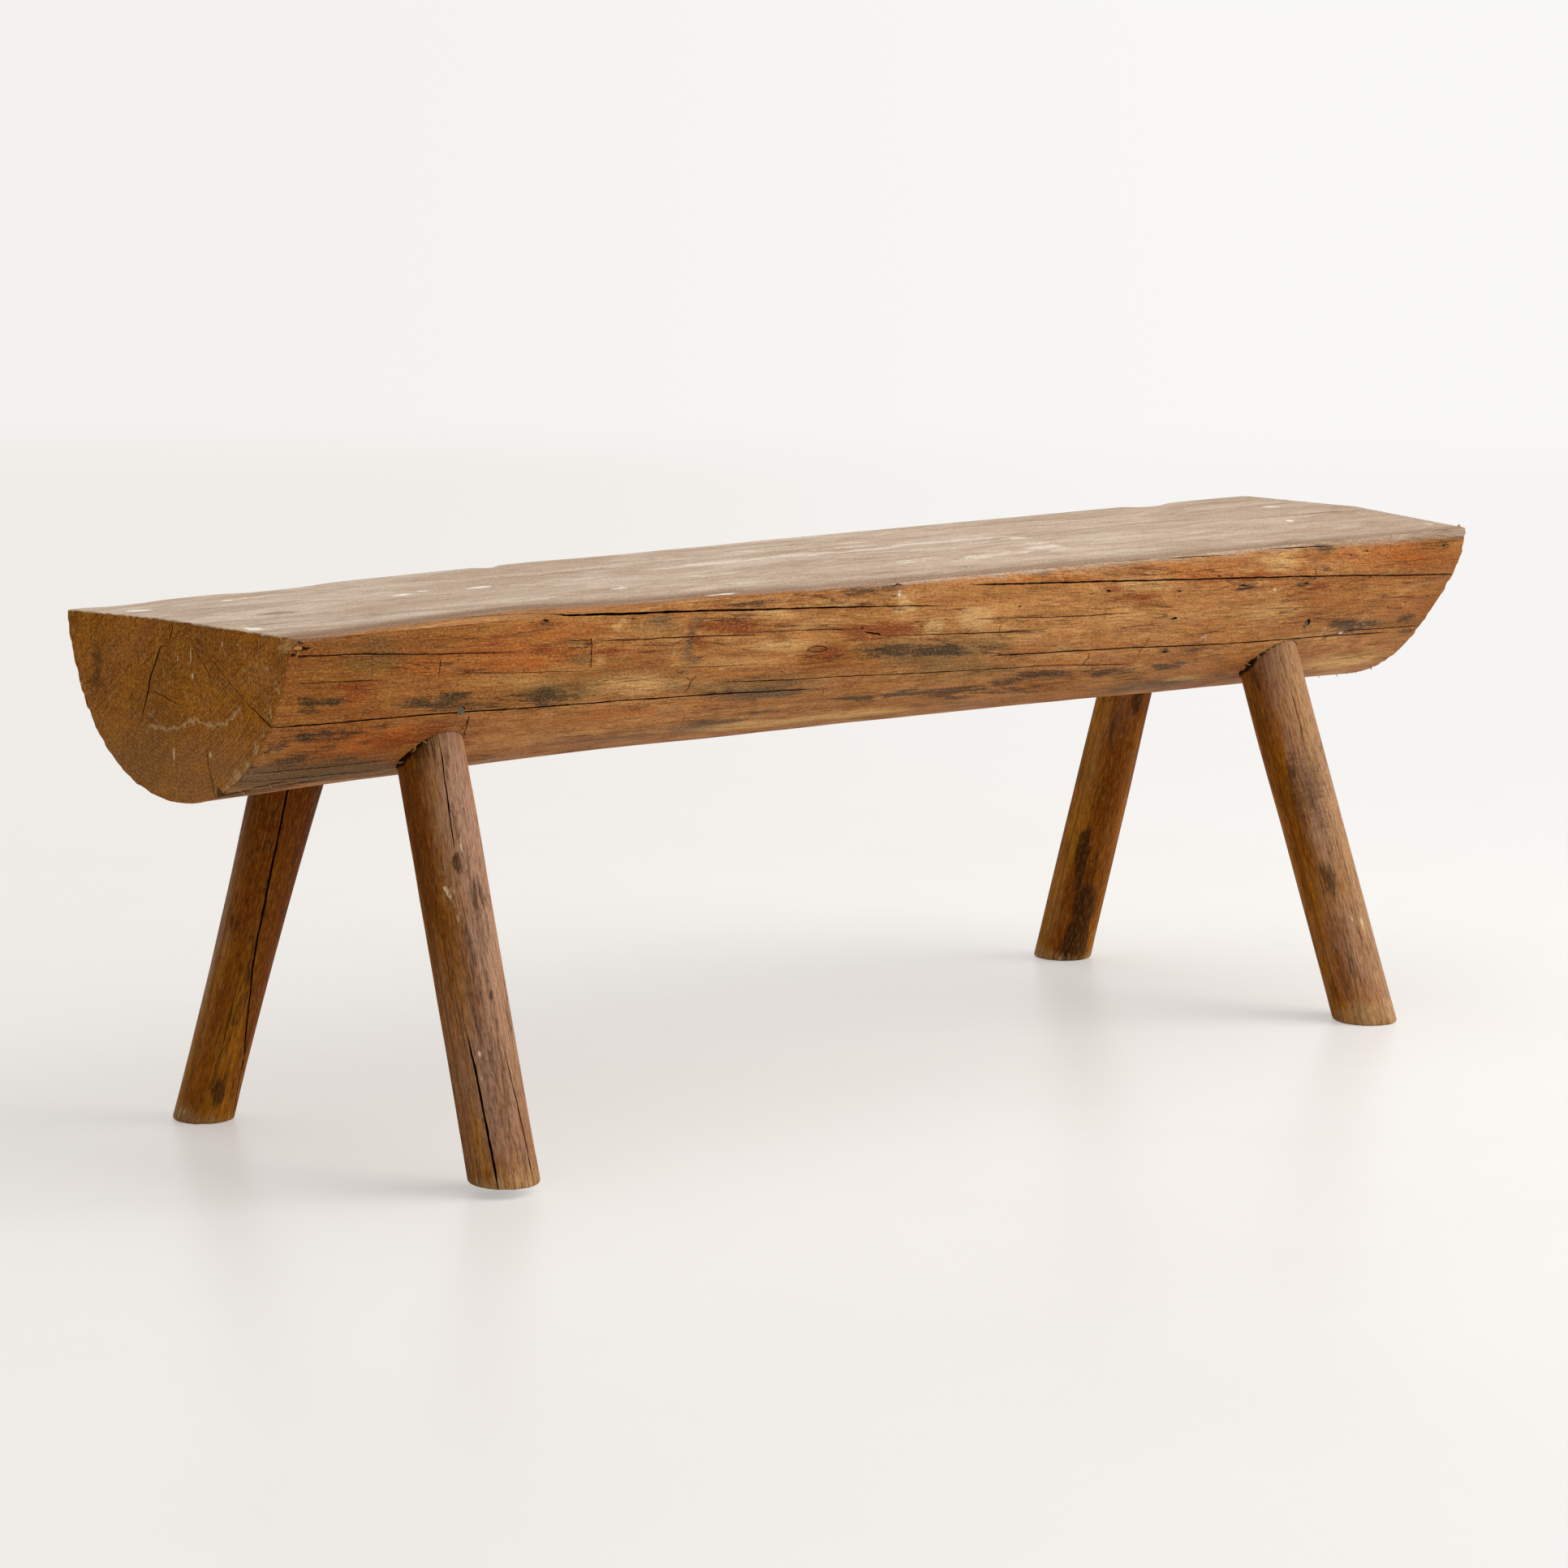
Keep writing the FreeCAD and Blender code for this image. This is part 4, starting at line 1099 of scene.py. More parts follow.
mortise_sides = 90
mortises = Cutter(12)
for number, leg in enumerate(legs.values()):
    foot, axis, first, second, reach, radius = leg_lines(leg)
    middle, most, half = leg["torn"]
    mouth = np.linspace(reach - 102, reach - 44, 20)
    lengths = np.r_[reach - 150, reach - 125, mouth, reach - 22, reach + mortise_gap]
    height = lengths[:, None]
    angles = np.arange(mortise_sides) * 2 * math.pi / mortise_sides
    off = turned_from(np.degrees(angles), middle)
    burst = np.clip(1 + 1.3 * lumps(80 + number, angles * 30, height, 3.4, 6), 0, 3)
    rough_wall = 0.25 * np.abs(lumps(90 + number, angles * 30, height, 3.2, 9))
    gap = (rough_wall + most * np.exp(-(off / half) ** 2) * burst) * np.clip((reach - 20 - height) / 30, 0, 1)
    radii = np.maximum(radius(height), float(radius(reach))) + mortise_gap + gap
    mortises.rod(foot, axis, lengths, radii, mortise_sides)
# The mortise walls are painted dark: painted shade in the gap round each leg.
mortises.cut(seat_log, 0.85)

# The nail holes: a seat for the head, with its radius at the mouth and at the bottom, and a bore for the
# wire. The front right nail is driven deeper, and the wood round its head is crushed wider.
nails = ("nail_front_left", "nail_front_right", "nail_back_left", "nail_back_right")
nail_hole = (3.9, 3.75)
sunk_hole = (4.6, 4.2)
bore_radius = 1.8
bore_depths = [-12, -0.4, 1.5, 1.6, 64.5]
bore_sides = 28
nail_holes = Cutter(13)
for node in nails:
    low, high = (np.array(corner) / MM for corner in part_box(node))
    back = 1 if "back" in node else -1
    head = (low + high) / 2
    head[1] = high[1] if back > 0 else low[1]
    mouth, seat = sunk_hole if node == "nail_front_right" else nail_hole
    radii = np.array([mouth, mouth, seat, bore_radius, bore_radius])[:, None]
    nail_holes.rod(head, np.array([0.0, -back, 0.0]), bore_depths, radii, bore_sides)
# The cut faces are painted dark: grime and painted shade in the ring round each head.
nail_holes.cut(seat_log, 0.9)

# Torn fibres and splinters still stand at the rims of the sawn ends and at the mortises' mouths: where,
# how long, how far they curl, how wide.
rim_fibres = [
    (-707, 101, 6, 0.8, 1.1), (-708, 122, 7, -1.0, 1.2), (-706, 150, 9, 1.2, 1.1), (-690, 163, 8, 1.6, 1.0),
    (-672, 152, 6, 0.6, 1.0), (-655, 150, 8, 2.0, 0.9), (-707, 88, 4, 0.9, 1.2), (-707, 60, 3, -0.9, 1.2),
    (701, 60, 4, 0.6, 1.2), (702, 84, 5, -0.8, 1.2), (701, 104, 5, 0.9, 1.2), (697, 122, 5, 1.2, 1.4),
    (699, 150, 5, -0.8, 1.2), (697, 168, 6, 1.4, 1.3), (695, 184, 8, 1.0, 1.3), (691, 198, 6, -1.2, 1.2),
    (682, 205, 5, 0.8, 1.2), (672, 210, 7, 1.2, 1.2), (650, 214, 5, -1.0, 1.1), (612, 212, 4, 1.2, 1.1),
]
end_fibres = [
    (-84, 349, 5, 1.0), (-67, 335, 6, -1.2), (-60, 329, 6, 1.4), (-108, 381, 4, 0.8), (-96, 362, 5, -1.0),
    (-128, 424, 3, 0.8), (-74, 341, 4, 0.9),
]
splinters = [
    ([(705, -130, 434), (705.6, -131, 439), (706, -131.6, 443.6), (706.2, -132, 446.2)], 7.0),
    ([(-698, -134, 443.6), (-702, -136.6, 445.2), (-706, -138, 445.6), (-708.6, -138.6, 444.8)], 5.4),
    ([(-700, -132, 447), (-703, -135, 448), (-706, -136.6, 448.6)], 3.0),
    ([(-700, -132, 443), (-704, -137.6, 441), (-706.6, -139.4, 438)], 2.8),
]
mouth_curls = [
    (-551, 140, 8, 1.8), (-549, 130, 7, -2.0), (-545, 120, 8, 2.2), (-541, 113, 7, -1.6), (461, 143, 9, 2.4),
    (462, 136, 8, -2.6), (465, 130, 9, 2.8), (469, 126, 8, -2.4), (473, 121, 9, 2.6), (478, 116, 7, -2.2),
    (484, 112, 6, 1.8), (463, 139, 7, -1.4),
]

fibres = Cutter(16)
for x, s, length, bend, width in rim_fibres:
    fibres.fibre(*at_log(x, s), length, bend, width)
for y, z, length, bend in end_fibres:
    fibres.fibre(*at_left_end(y, z), length, bend, 1.0)
for line, width in splinters:
    fibres.strand(line, width)
fibres.cut(seat_log, 0.0, "UNION")
curls = Cutter(17)
for x, s, length, bend in mouth_curls:
    curls.fibre(*at_log(x - 2.5, s - 2.0), length, bend, 2.4)
curls.cut(seat_log, 0.45, "UNION")


def drop_crumbs(piece):
    """Takes away bits that the cuts left loose: what hangs together with the underside stays."""
    work = bmesh.new()
    work.from_mesh(piece.data)
    waiting = [min(work.verts, key=lambda point: point.co.z)]
    held = set(waiting)
    while waiting:
        for edge in waiting.pop().link_edges:
            for point in edge.verts:
                if point not in held:
                    held.add(point)
                    waiting.append(point)
    bmesh.ops.delete(work, geom=[point for point in work.verts if point not in held], context="VERTS")
    work.to_mesh(piece.data)
    work.free()


def finish_edges(piece, degrees=38):
    """Smooth shading, with sharp edges where the wood is cut."""
    piece.data.polygons.foreach_set("use_smooth", [True] * len(piece.data.polygons))
    piece.data.set_sharp_from_angle(angle=math.radians(degrees))


drop_crumbs(seat_log)
finish_edges(seat_log)
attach(seat_log, "root")
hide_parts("seat_log")


# The legs: four peeled pine poles, a little bent and tapered, driven into the log and sawn level at the
# foot. They are brown with age, with painted shade darkening their left sides and their tops under the
# log, and greyer towards the light, partly where hands and feet rub them and partly as painted sheen.
foot_rounding = 4.0
leg_radius = 28.0
leg_sides = 100
leg_rows = 128
pole_paints = {
    "stains": ("dark", "warm_and_shade", "wrinkled", "pale"),
    "tones": ("worn_and_sheen", "footing", "brown_and_shade", "fleck"),
    "wear": ("grime_and_shade", "white", "torn", "age"),
}
# Each leg has its foot's height off the floor, and its checks, marks and knots by height along the leg
# and angle round it, from the right-hand side towards the back. High up, just under the log, the dark,
# warm and brown marks are painted shade from the log; brown on the left sides, away from the light, is
# painted shade as well, and the grey worn marks on the sides towards the light are partly painted sheen.
leg_wear = {
    "front_left": {
        "gap": 7.9,
        "checks": [
            (1.0, 9, [(372, -126), (350, -124), (338, -123)]),
            (1.1, 11, [(372, -111), (349, -110), (313, -113), (262, -117)]),
            (0.5, 5, [(196, -160), (125, -164)]),
            (1.9, 15, [(136, -148), (100, -144), (59, -142), (39, -141), (-6, -139)]),
            (1.2, 10, [(118, -89), (54, -79), (31, -77), (-6, -76)]),
            (1.2, 10, [(340, 20), (180, 28), (60, 22), (-6, 20)]), (0.9, 8, [(300, 110), (120, 104)]),
        ],
        "dark": [
            (268, -118, 6, 5, 1.0), (160, -120, 70, 14, 0.45), (220, -90, 40, 9, 0.6), (150, -100, 6, 5, 0.7),
            (190, -124, 60, 10, 0.5), (90, -112, 60, 14, 0.4), (250, -96, 50, 8, 0.4),
            (130, -62, 50, 6, 0.45), (365, -140, 30, 14, 0.7), (120, -150, 60, 9, 0.35),
            (45, -100, 30, 10, 0.3), (230, -166, 14, 6, 0.5),
        ],
        "warm_and_shade": [
            (300, 175, 80, 24, 0.6), (60, -60, 60, 16, 0.5), (300, -95, 60, 12, 0.4), (140, 178, 90, 18, 0.5),
        ],
        "pale": [(350, -118, 60, 12, 0.5), (120, -70, 120, 14, 0.4), (260, -128, 60, 8, 0.4)],
        "fleck": [
            (234, -140, 5, 1.6, 0.9), (222, -134, 3, 1.6, 0.8), (113, -131, 4, 2, 0.8),
            (95, -134, 5, 1.5, 0.8), (282, -108, 7, 1.5, 0.7), (91, -128, 3, 1.2, 0.7),
            (300, -90, 6, 1.4, 0.6), (246, -130, 8, 3, 0.45), (230, -130, 10, 5, 0.4),
        ],
        "worn_and_sheen": [
            (190, -78, 220, 26, 1.0), (300, -90, 120, 24, 1.0), (90, -120, 90, 24, 0.8),
            (100, -172, 110, 20, 0.5),
        ],
        "brown_and_shade": [
            (320, 178, 130, 21, 0.9), (180, 160, 200, 12, 0.5), (370, 170, 40, 40, 0.9),
            (50, -70, 60, 14, 0.5),
        ],
        "wrinkled": [(60, -150, 40, 10, 0.3)],
        "knots": [(268, -118, 4.5)],
    },
    "back_left": {
        "gap": 0.0,
        "checks": [
            (1.7, 16, [
                (352, -129), (320, -127), (253, -121), (189, -114), (155, -108), (100, -88), (50, -64),
            ]),
            (1.1, 12, [(110, -73), (65, -75), (21, -64), (-6, -58)]), (0.6, 5, [(150, -130), (60, -128)]),
            (1.2, 10, [(330, 40), (120, 50), (-6, 44)]), (0.9, 8, [(260, 130), (90, 128)]),
        ],
        "dark": [
            (360, -120, 40, 60, 0.45), (330, -70, 60, 12, 0.5), (120, -115, 60, 9, 0.6),
            (40, -114, 14, 9, 0.9), (193, -166, 10, 8, 0.6), (60, -130, 40, 10, 0.4),
            (300, -140, 60, 12, 0.35), (220, -118, 60, 8, 0.5), (126, -106, 10, 6, 0.6),
        ],
        "warm_and_shade": [(230, -145, 90, 20, 0.7), (80, -150, 80, 20, 0.6), (300, -100, 60, 20, 0.5)],
        "pale": [(120, 170, 90, 14, 0.4), (90, -80, 50, 6, 0.25), (200, -85, 60, 10, 0.25)],
        "fleck": [(10, 178, 10, 1.6, 0.7), (8, -170, 8, 1.6, 0.7)],
        "worn_and_sheen": [(190, 152, 110, 9, 0.9), (200, 178, 60, 8, 0.35)],
        "brown_and_shade": [
            (350, -120, 90, 60, 1.8), (250, -138, 120, 16, 0.9), (250, -60, 160, 26, 1.7),
            (90, -60, 90, 20, 0.8),
        ],
        "wrinkled": [(190, -166, 24, 12, 0.4)],
        "knots": [(193, -166, 4.5), (31, -112, 8.0)],
    },
    "front_right": {
        "gap": 0.0,
        "checks": [
            (0.6, 5, [(330, -112), (290, -112), (250, -116)]), (1.3, 12, [(300, 15), (150, 22), (-6, 18)]),
            (1.0, 9, [(240, 100), (60, 92), (-6, 90)]), (0.5, 4, [(150, -150), (60, -154)]),
        ],
        "dark": [
            (136, -134, 18, 10, 0.65), (80, -100, 40, 12, 0.35), (230, -150, 40, 14, 0.45),
            (200, -120, 40, 10, 0.3), (50, -150, 36, 12, 0.4), (34, 174, 16, 7, 0.6),
            (330, -170, 24, 12, 0.5),
        ],
        "warm_and_shade": [
            (60, -165, 50, 14, 0.6), (36, -178, 20, 9, 0.8), (300, -150, 60, 16, 0.5),
            (180, 170, 60, 14, 0.4),
        ],
        "pale": [(300, -95, 120, 20, 0.7), (150, -85, 120, 20, 0.7), (90, -130, 20, 10, 0.4)],
        "fleck": [
            (92, -110, 12, 5, 0.35), (84, -95, 6, 3, 0.5), (345, -118, 10, 1.2, 0.5),
            (330, -122, 8, 1.2, 0.4), (250, 172, 6, 1.2, 0.5),
        ],
        "worn_and_sheen": [
            (200, -70, 260, 26, 1.0), (340, -100, 70, 30, 0.9), (215, -122, 110, 14, 0.9),
            (70, -110, 80, 30, 0.75),
        ],
        "brown_and_shade": [(270, 172, 170, 14, 0.6), (350, 175, 60, 40, 0.6)],
        "wrinkled": [(222, -130, 32, 20, 0.8)],
        "knots": [(199, 166, 6.5), (37, 175, 7.5)],
    },
    "back_right": {
        "gap": 0.0,
        "checks": [
            (0.8, 7, [(330, -75), (250, -72), (120, -66), (20, -62)]),
            (1.3, 11, [(300, 40), (150, 36), (-6, 40)]), (1.0, 9, [(260, 140), (100, 150)]),
            (0.6, 5, [(110, -128), (50, -124)]),
        ],
        "dark": [
            (126, -148, 20, 7, 1.3), (98, -140, 24, 5, 0.8), (66, -118, 30, 10, 1.3), (30, -120, 24, 15, 1.4),
            (60, -104, 20, 6, 1.0), (292, -111, 7, 6, 0.9), (250, -140, 50, 9, 0.4), (110, -118, 30, 4, 0.6),
        ],
        "warm_and_shade": [
            (70, -152, 44, 10, 1.3), (30, -154, 24, 10, 1.4), (200, -125, 60, 14, 0.7),
            (120, -90, 60, 10, 0.6), (292, -100, 20, 14, 0.5),
        ],
        "pale": [(60, 175, 50, 9, 0.5), (230, -170, 80, 10, 0.5), (160, -100, 60, 8, 0.3)],
        "fleck": [(8, -140, 6, 12, 0.5), (8, -90, 5, 10, 0.4)],
        "worn_and_sheen": [(200, -48, 200, 12, 0.5), (300, -140, 60, 14, 0.4)],
        "brown_and_shade": [(350, -110, 60, 60, 1.1), (180, -124, 300, 20, 0.8), (200, -60, 300, 12, 0.35)],
        "wrinkled": [(250, -120, 40, 14, 0.3)],
        "knots": [(292, -111, 6.0), (100, -146, 7.0)],
    },
}


def leg_wood():
    f = Finish("peeled_pole", pole_paints)
    f.follow_grain((3.0, 20.0), 0.008)
    bands = f.pattern((2.2, 40.0), 3.0)
    streaks = f.pattern((9.0, 150.0), 7.0, 0.72, 0.3)
    threads = f.pattern((28.0, 420.0), 5.0, 0.72, 0.2)
    fibres = f.pattern((45.0, 1100.0), 3.0)
    mottle = f.pattern((12.0, 50.0), 7.0, 0.66, 0.6)
    specks = f.pattern((110.0, 320.0))
    edges = f.pattern((26.0, 200.0), 9.0, 0.78, 0.7)
    wrinkles = f.pattern((190.0, 60.0), 5.0, 0.66, 1.8)
    grit = f.pattern((100.0, 560.0), 5.0, 0.8)
    wood = f.mix(f.rise(bands, 0.35, 0.65), tone(172, 104, 6), tone(196, 128, 24))
    wood = f.coated(wood, [
        (f.rise(mottle, 0.44, 0.66), 0.65, (130, 78, 24)),
        (f.rise(mottle, 0.46, 0.30), 0.4, (184, 126, 54)),
        # A warm brown, partly the pole's own and partly painted shade high up under the log.
        (f.marked("warm_and_shade", mottle, 1.6, 0.4), 0.8, (158, 84, 12)),
        # Brown, partly the pole's own and partly painted shade: on the left sides, away from the light, and
        # high up under the log.
        (f.marked("brown_and_shade", mottle, 1.0, 0.45), 0.85, (134, 70, 0)),
        # Grey: partly worn wood, and partly painted sheen on the sides towards the light and at the back left
        # leg's left edge.
        (f.marked("worn_and_sheen", edges, 1.4, 0.45), 0.92, (180, 142, 122)),
        (f.marked("pale", edges, 1.8, 0.4), 0.7, (190, 146, 94)),
        (f.rise(streaks, 0.50, 0.66), 0.5, (104, 66, 28)),
        (f.rise(streaks, 0.45, 0.33), 0.30, (194, 142, 82)),
        (f.rise(threads, 0.50, 0.64), 0.45, (90, 56, 24)),
        (f.rise(specks, 0.60, 0.72), 0.5, (84, 52, 24)),
        (f.marked("dark", edges, 2.2, 0.2), 0.8, (58, 36, 18)),
        (f.marked("wrinkled", wrinkles, 2.2, 0.3), 0.45, (84, 56, 34)),
        (f.ragged(f.part(f.painted("footing"), 0.6), edges, 2.4, 0.3), 0.65, (200, 164, 116)),
        (f.hairlines((4.0, 80.0), 0.010), 0.5, (66, 38, 16)),
        # A tint that takes the blue out where the brown and its painted shade lie.
        (f.painted("brown_and_shade"), 0.5, (192, 166, 70), "MULTIPLY"),
        (f.rise(fibres, 0.48, 0.72), 0.45, (150, 120, 100), "MULTIPLY"),
        (f.rise(grit, 0.49, 0.60), 0.60, (180, 156, 132), "MULTIPLY"),
        (f.rise(grit, 0.49, 0.38), 0.13, (238, 188, 92)),
        (f.marked("fleck", specks, 1.2, 0.16), 1.0, (226, 200, 160)),
        # Darkened: the leg's cut checks, and painted shade where the leg lies in the gap at the mortise's
        # mouth.
        (f.painted("grime_and_shade"), 1.0, (34, 18, 8)),
    ])
    creases = f.part(wrinkles, f.painted("wrinkled"))
    bumps = [(streaks, 0.8), (fibres, 0.4), (specks, 0.3), (creases, 0.8)]
    return f.surface(wood, (mottle, 0.46, 0.66), bumps, 0.0012, 0.04)


pole_finish = leg_wood()


def way_in(foot, axis, ways, wide, start=200):
    """How far up a leg it enters the log, for each way out from its middle line."""
    lengths = []
    for way in ways:
        below = (foot + axis * start + way * wide) * MM
        hit = log_skin.ray_cast(mathutils.Vector(below), mathutils.Vector(axis))
        lengths.append(start + hit[3] / MM)
    return np.array(lengths)


def make_leg(name, leg, wear, seed):
    """One leg with its checks cut in it, and its foot sawn level."""
    foot, axis, first, second, reach, radius = leg_lines(leg)
    foot_radius, top_radius = float(radius(0.0)), float(radius(reach))
    angles = np.arange(leg_sides) * 2 * math.pi / leg_sides - math.pi
    degrees = np.degrees(angles)
    girth = angles * leg_radius
    ways = np.cos(angles)[:, None] * first + np.sin(angles)[:, None] * second

    # rows of points, closer together where the leg enters the log
    low = (wear["gap"] - foot_radius * ways[:, 2]) / axis[2]
    enters = way_in(foot, axis, ways, top_radius + 0.6)
    near = enters.mean() / reach
    stops = [0, near - 0.05, near + 0.04, 1]
    shares = np.interp(np.linspace(0, 1, leg_rows), [0, 0.66, 0.92, 1], stops)[:, None]
    lengths = low + 3.0 + (reach - 0.6 - low - 3.0) * shares

    # the pole's own unevenness, its knots, and the neck pared thin where it goes in
    swells = [(seed, 0.55, 95, 30), (seed + 1, 0.30, 60, 9), (seed + 2, 0.12, 30, 3.6)]
    relief = rough(lengths, girth, swells) - 0.3
    for height, angle, size in wear["knots"]:
        off = turned_from(degrees, angle) / 2
        relief = relief + 0.9 * np.exp(-((lengths - height) / (size * 1.5)) ** 2 - (off / size) ** 2)
    relief = relief * np.clip((reach - straight_length + 30 - lengths) / 30, 0, 1)
    relief = relief * np.clip(shares * 20, 0.4, 1)
    relief = np.where(lengths > reach - straight_length + 10, -0.15, relief)
    pared = np.clip(1 + 0.9 * lumps(seed + 5, girth, 0, 5), 0.2, 2)
    pared = pared * np.exp(-(turned_from(degrees, -174) / 32) ** 2)
    inside = lengths - (enters - 0.6 - 2.6 * pared)
    relief = relief - 2.2 * np.minimum(pared, 1.2) * smooth_step(inside, -1, 3)
    body = foot + axis * lengths[..., None] + ways * (radius(lengths) + relief)[..., None]
    top = [foot + axis * reach + ways * wide for wide in (top_radius - 2.0, 6)]

    # the sawn foot, with its rim worn round
    rim = foot + axis * low[:, None] + ways * foot_radius
    rim[:, 2] = wear["gap"]
    foot_middle = rim.mean(0)
    foot_rings = [foot_middle + (rim - foot_middle) * share for share in (0.15, 0.35, 0.55, 0.72)]
    ragged = 1 + 0.45 * lumps(seed + 3, girth, 0, 7)[:, None]
    for slope in np.arange(4) * math.pi / 8:
        worn_in = unit(foot_middle - rim) * (foot_rounding * 0.8 * (1 - math.sin(slope)) * ragged)
        foot_rings.append(rim + worn_in + axis * 3.0 * (1 - math.cos(slope)))
    grid = np.concatenate([foot_rings, body, top])

    foot_count = len(foot_rings)
    ring_of_row = np.r_[[0] * foot_count, np.arange(leg_rows), [leg_rows - 1] * 2]
    heights = wrapped(lengths[ring_of_row])
    turned = wrapped(np.broadcast_to(degrees, grid.shape[:2]), 360 / leg_sides) / 2
    marks = {}
    for kind in ("dark", "warm_and_shade", "wrinkled", "pale", "worn_and_sheen", "brown_and_shade", "fleck"):
        for shift in (-360, 0, 360):
            table = [(height, (angle + shift) / 2, *rest) for height, angle, *rest in wear[kind]]
            marks[kind] = np.maximum(marks.get(kind, 0), patches(table, heights, turned, 0))
    marks["footing"] = smooth_step(-heights, -26, -6)
    # Painted shade: the leg darkens from where it goes into the log's mouth, as in the dark gap round it.
    marks["grime_and_shade"] = 0.8 * smooth_step(wrapped(inside[ring_of_row]), -1.2, 1.6)
    grain = np.stack([heights + seed * 50, turned + seed * 37, heights * 0], -1) * MM
    side_rows = (foot_count - 4, foot_count + leg_rows - 1)
    piece = skin("leg_pole_" + name, grid, grain, pole_paints, marks, side_rows, (pole_finish, pole_finish))

    def at_leg(length, angle):
        turn = math.radians(angle)
        out = math.cos(turn) * first + math.sin(turn) * second
        return foot + axis * length + out * float(radius(length)), out

    splits = Cutter(seed)
    for width, depth, line in wear["checks"]:
        fine = np.linspace(0, len(line) - 1, 6 * len(line))
        line = [np.interp(fine, np.arange(len(line)), column) for column in np.array(line, float).T]
        splits.groove(at_leg, np.stack(line, -1), width, depth, fade=26, wander=0.5, step=5.0)
    splits.cut(piece, 1.0)
    return piece


leg_pieces = {}
for number, (name, leg) in enumerate(legs.items()):
    leg_pieces[name] = make_leg(name, leg, leg_wear[name], 60 + 10 * number)
for name, piece in leg_pieces.items():
    finish_edges(piece)
    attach(piece, "root")
    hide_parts("leg_" + name)


# The nails: round wire nails of zinc-coated steel, driven through the log's side into the legs. Only
# their flat heads show. They are the frame's own, so they only get their finish here.
def zinc():
    f = Finish("dull_zinc")
    f.way = f.node("TexCoord", out="Object")
    bloom = f.pattern((900.0, 900.0, 900.0), 5.0, 0.7)
    rust = f.rise(f.pattern((400.0, 400.0, 400.0), 3.0), 0.62, 0.75)
    colour = f.mix(f.rise(bloom, 0.35, 0.7), tone(118, 110, 90), tone(70, 60, 46))
    colour = f.coated(colour, [(rust, 1.0, (104, 70, 46))])
    return f.surface(colour, (bloom, 0.38, 0.6), [(bloom, 1.0)], 0.0002, 0.5, 0.5, 0.9)


zinc_finish = zinc()
for node in nails:
    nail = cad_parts[node]
    nail.data.materials.clear()
    nail.data.materials.append(zinc_finish)

# The studio: a pale floor that sweeps up behind into a white wall. The bench's shadow falls on it, and
# the floor glows a little further out, so that it is as even as a lit paper sweep.
floor_half = 7.0
floor_side = 9.0
sweep_start = 5.2
sweep_radius = 2.5
wall_top = 7.0
back_way = np.array([0.688, 0.725, 0.0])
right_way = np.array([0.725, -0.688, 0.0])
profile = [(-floor_half, 0.0), (sweep_start, 0.0)]
for turn in np.linspace(0.05, math.pi / 2, 24):
    profile.append((sweep_start + sweep_radius * math.sin(turn), sweep_radius * (1 - math.cos(turn))))
profile.append((sweep_start + sweep_radius, wall_top))
verts = []
for distance, height in profile:
    for aside in (-floor_side, floor_side):
        verts.append((back_way * distance + right_way * aside + (0.0, 0.0, height)).tolist())
faces = [(2 * i, 2 * i + 1, 2 * i + 3, 2 * i + 2) for i in range(len(profile) - 1)]
floor_mesh = bpy.data.meshes.new("studio_floor")
floor_mesh.from_pydata(verts, [], faces)
floor_mesh.polygons.foreach_set("use_smooth", [True] * len(faces))
floor = placed("studio_floor", floor_mesh)


def pale_floor():
    f = Finish("pale_floor")
    f.way = f.node("TexCoord", out="Object")
    cloudy = f.rise(f.pattern((2.2, 2.2, 2.2), 6.0), 0.3, 0.7)
    colour = f.mix(cloudy, tone(242, 239, 235), tone(238, 235, 230))
    paper = f.node("BsdfPrincipled", {"Base Color": colour, "Roughness": 0.34, "Specular IOR Level": 0.35})
    # The glow is brighter to the right, on the wall and the floor: painted light, as falling from the lamps
    # on that side.
    aside = f.vector("DOT_PRODUCT", f.way, right_way.tolist(), "Value")
    wall = f.mix(f.rise(aside, -1.6, 1.6), tone(244, 242, 239), tone(249, 248, 246))
    low = f.mix(f.rise(aside, -1.0, 0.9), tone(240, 236, 231), tone(247, 245, 243))
    light = f.mix(f.rise(f.axis(f.way, 2), 0.0, 0.12), low, wall)
    glow = f.node("Emission", {"Color": light, "Strength": 1.0})
    seen = 0.0
    for ray in ("Is Camera Ray", "Is Glossy Ray", "Is Transmission Ray"):
        seen = f.sum("MAXIMUM", seen, f.node("LightPath", out=ray))
    away = f.vector("LENGTH", f.way, out="Value")
    far = f.node("MapRange", {0: away, 1: 0.7, 2: 2.4, 3: 0.40, 4: 1.0}, interpolation_type="SMOOTHSTEP")
    mixed = f.node("MixShader", {0: f.part(seen, far), 1: paper, 2: glow})
    f.node("OutputMaterial", {"Surface": mixed})
    return f.material


floor_mesh.materials.append(pale_floor())

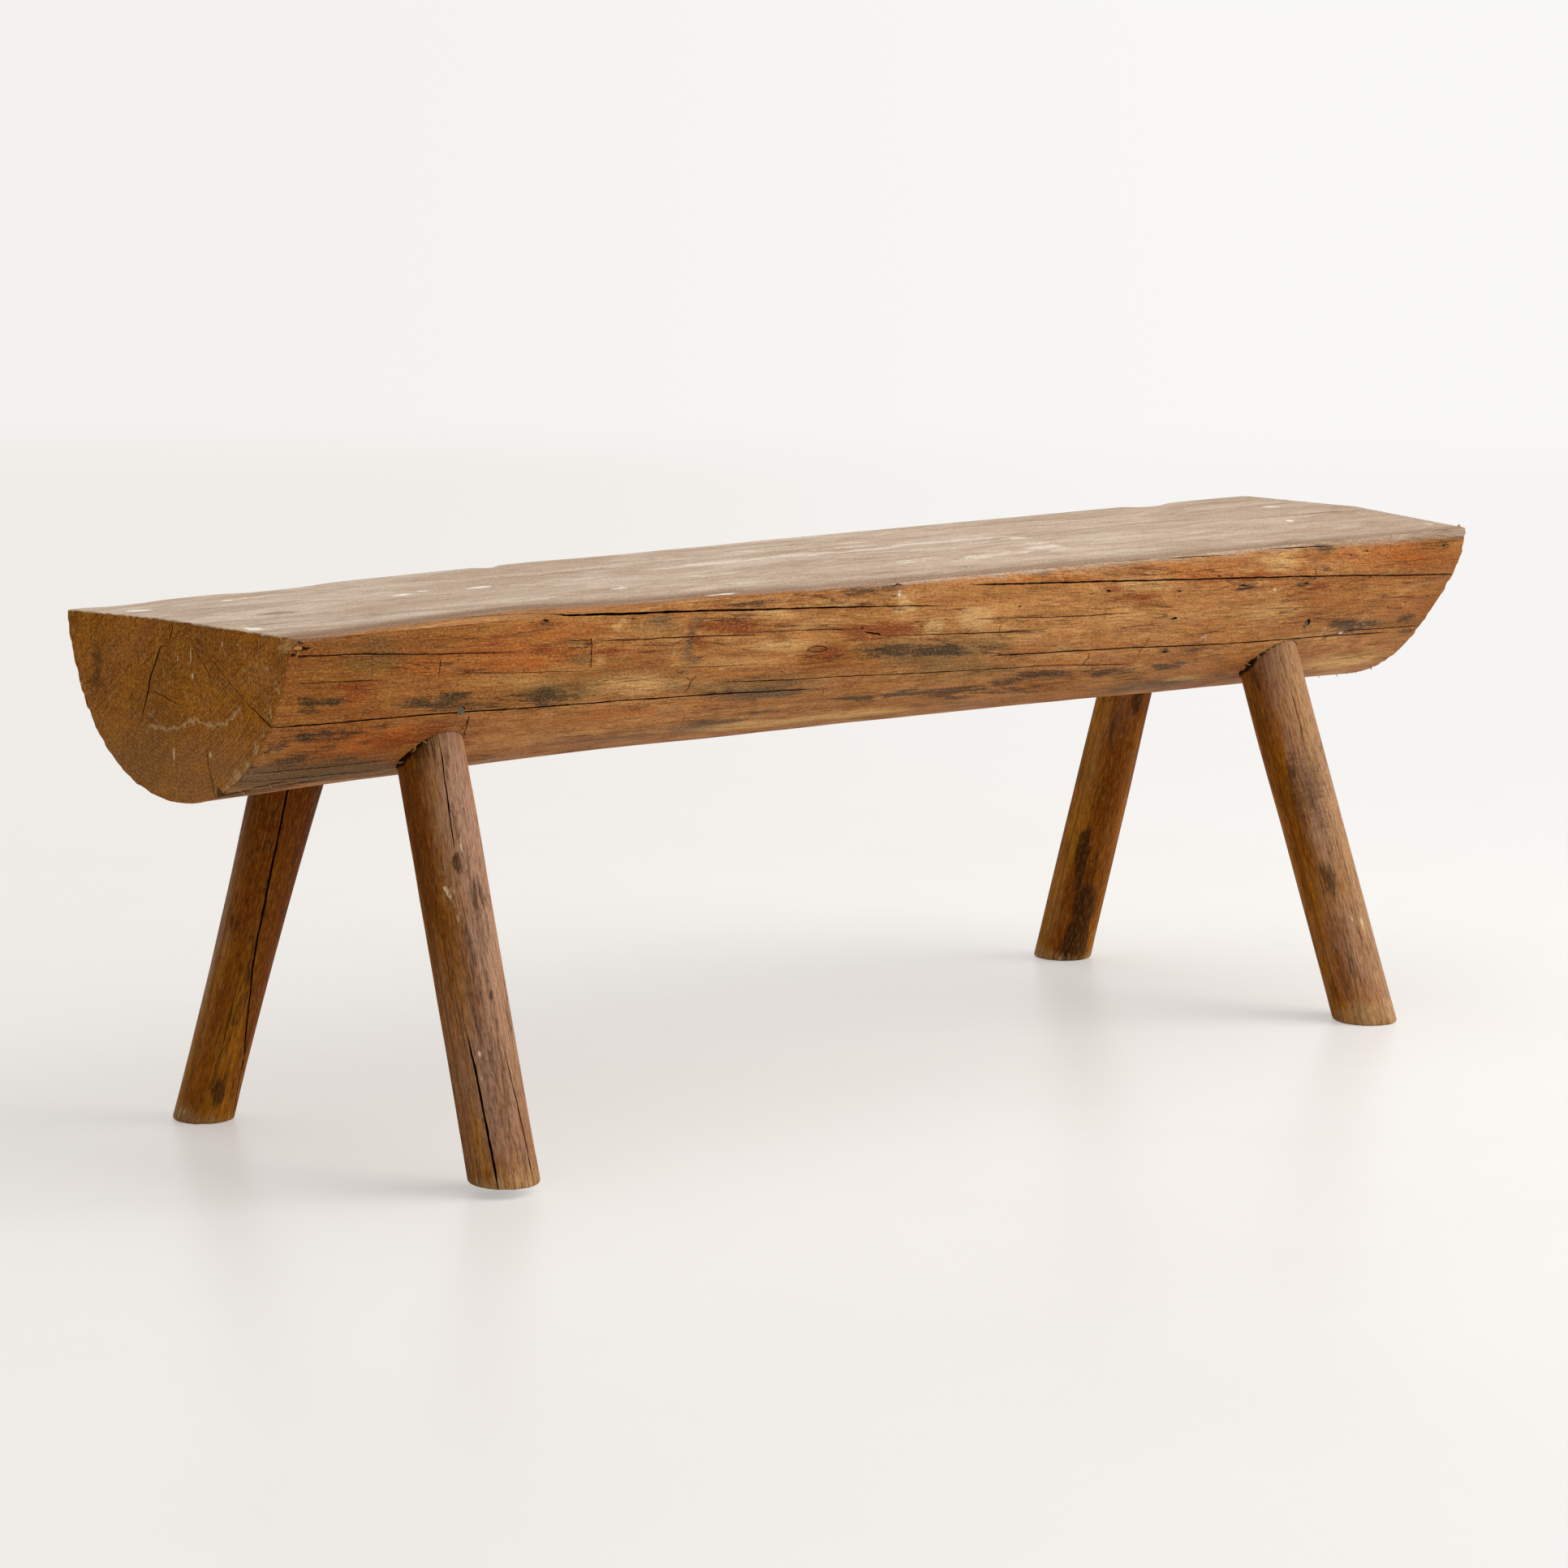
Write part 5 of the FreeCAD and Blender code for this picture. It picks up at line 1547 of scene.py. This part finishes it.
# The light: a dim room that is brighter on the right, a softbox on the right and one overhead.
world = bpy.data.worlds.new("studio")
bpy.context.scene.world = world
world.use_nodes = True
sky = world.node_tree
background = sky.nodes["Background"]
background.inputs["Color"].default_value = (1.0, 0.99, 0.98, 1.0)
way = sky.nodes.new("ShaderNodeTexCoord")
toward = sky.nodes.new("ShaderNodeVectorMath")
toward.operation = "DOT_PRODUCT"
toward.inputs[1].default_value = (0.62, -0.52, 0.58)
dimming = sky.nodes.new("ShaderNodeMapRange")
for socket, value in ((1, -0.7), (3, 0.10), (4, 0.55)):
    dimming.inputs[socket].default_value = value
sky.links.new(way.outputs["Generated"], toward.inputs[0])
sky.links.new(toward.outputs["Value"], dimming.inputs[0])
sky.links.new(dimming.outputs[0], background.inputs["Strength"])

lamps = [
    ("key_softbox", (3.4, -3.4, 3.8), (0.0, 0.0, 0.2), 4.2, 245.0, (1.0, 0.985, 0.965)),
    ("top_softbox", (0.3, 0.2, 5.2), (0.0, 0.0, 0.0), 6.0, 130.0, (1.0, 1.0, 1.0)),
]
for name, spot, aim, size, power, colour in lamps:
    lamp = bpy.data.lights.new(name, "AREA")
    lamp.shape = "SQUARE"
    lamp.size = size
    lamp.energy = power
    lamp.color = colour
    holder = placed(name, lamp)
    way = np.array(aim) - np.array(spot)
    holder.location = spot
    pitch = math.atan2(math.hypot(way[0], way[1]), -way[2])
    holder.rotation_euler = (pitch, 0.0, math.atan2(way[1], way[0]) - math.pi / 2)

bpy.context.scene.view_settings.view_transform = "Standard"

# The camera, where the photographer's stood: a long lens, a little above the seat, to the left.
camera_data = bpy.data.cameras.new("camera")
camera_data.sensor_width = 36.0
camera_data.lens = 108.565
camera_data.shift_y = -0.00094
camera_data.clip_end = 60.0
camera = placed("camera", camera_data)
right = (0.725433, -0.688278, 0.004474)
up = (0.102831, 0.114804, 0.988051)
ahead = (0.680568, 0.716305, -0.154059)
stand = (-2.888151, -2.973214, 0.898889)
rows = [[right[i], up[i], -ahead[i], stand[i]] for i in range(3)]
camera.matrix_world = mathutils.Matrix([*rows, [0, 0, 0, 1]])
bpy.context.scene.camera = camera
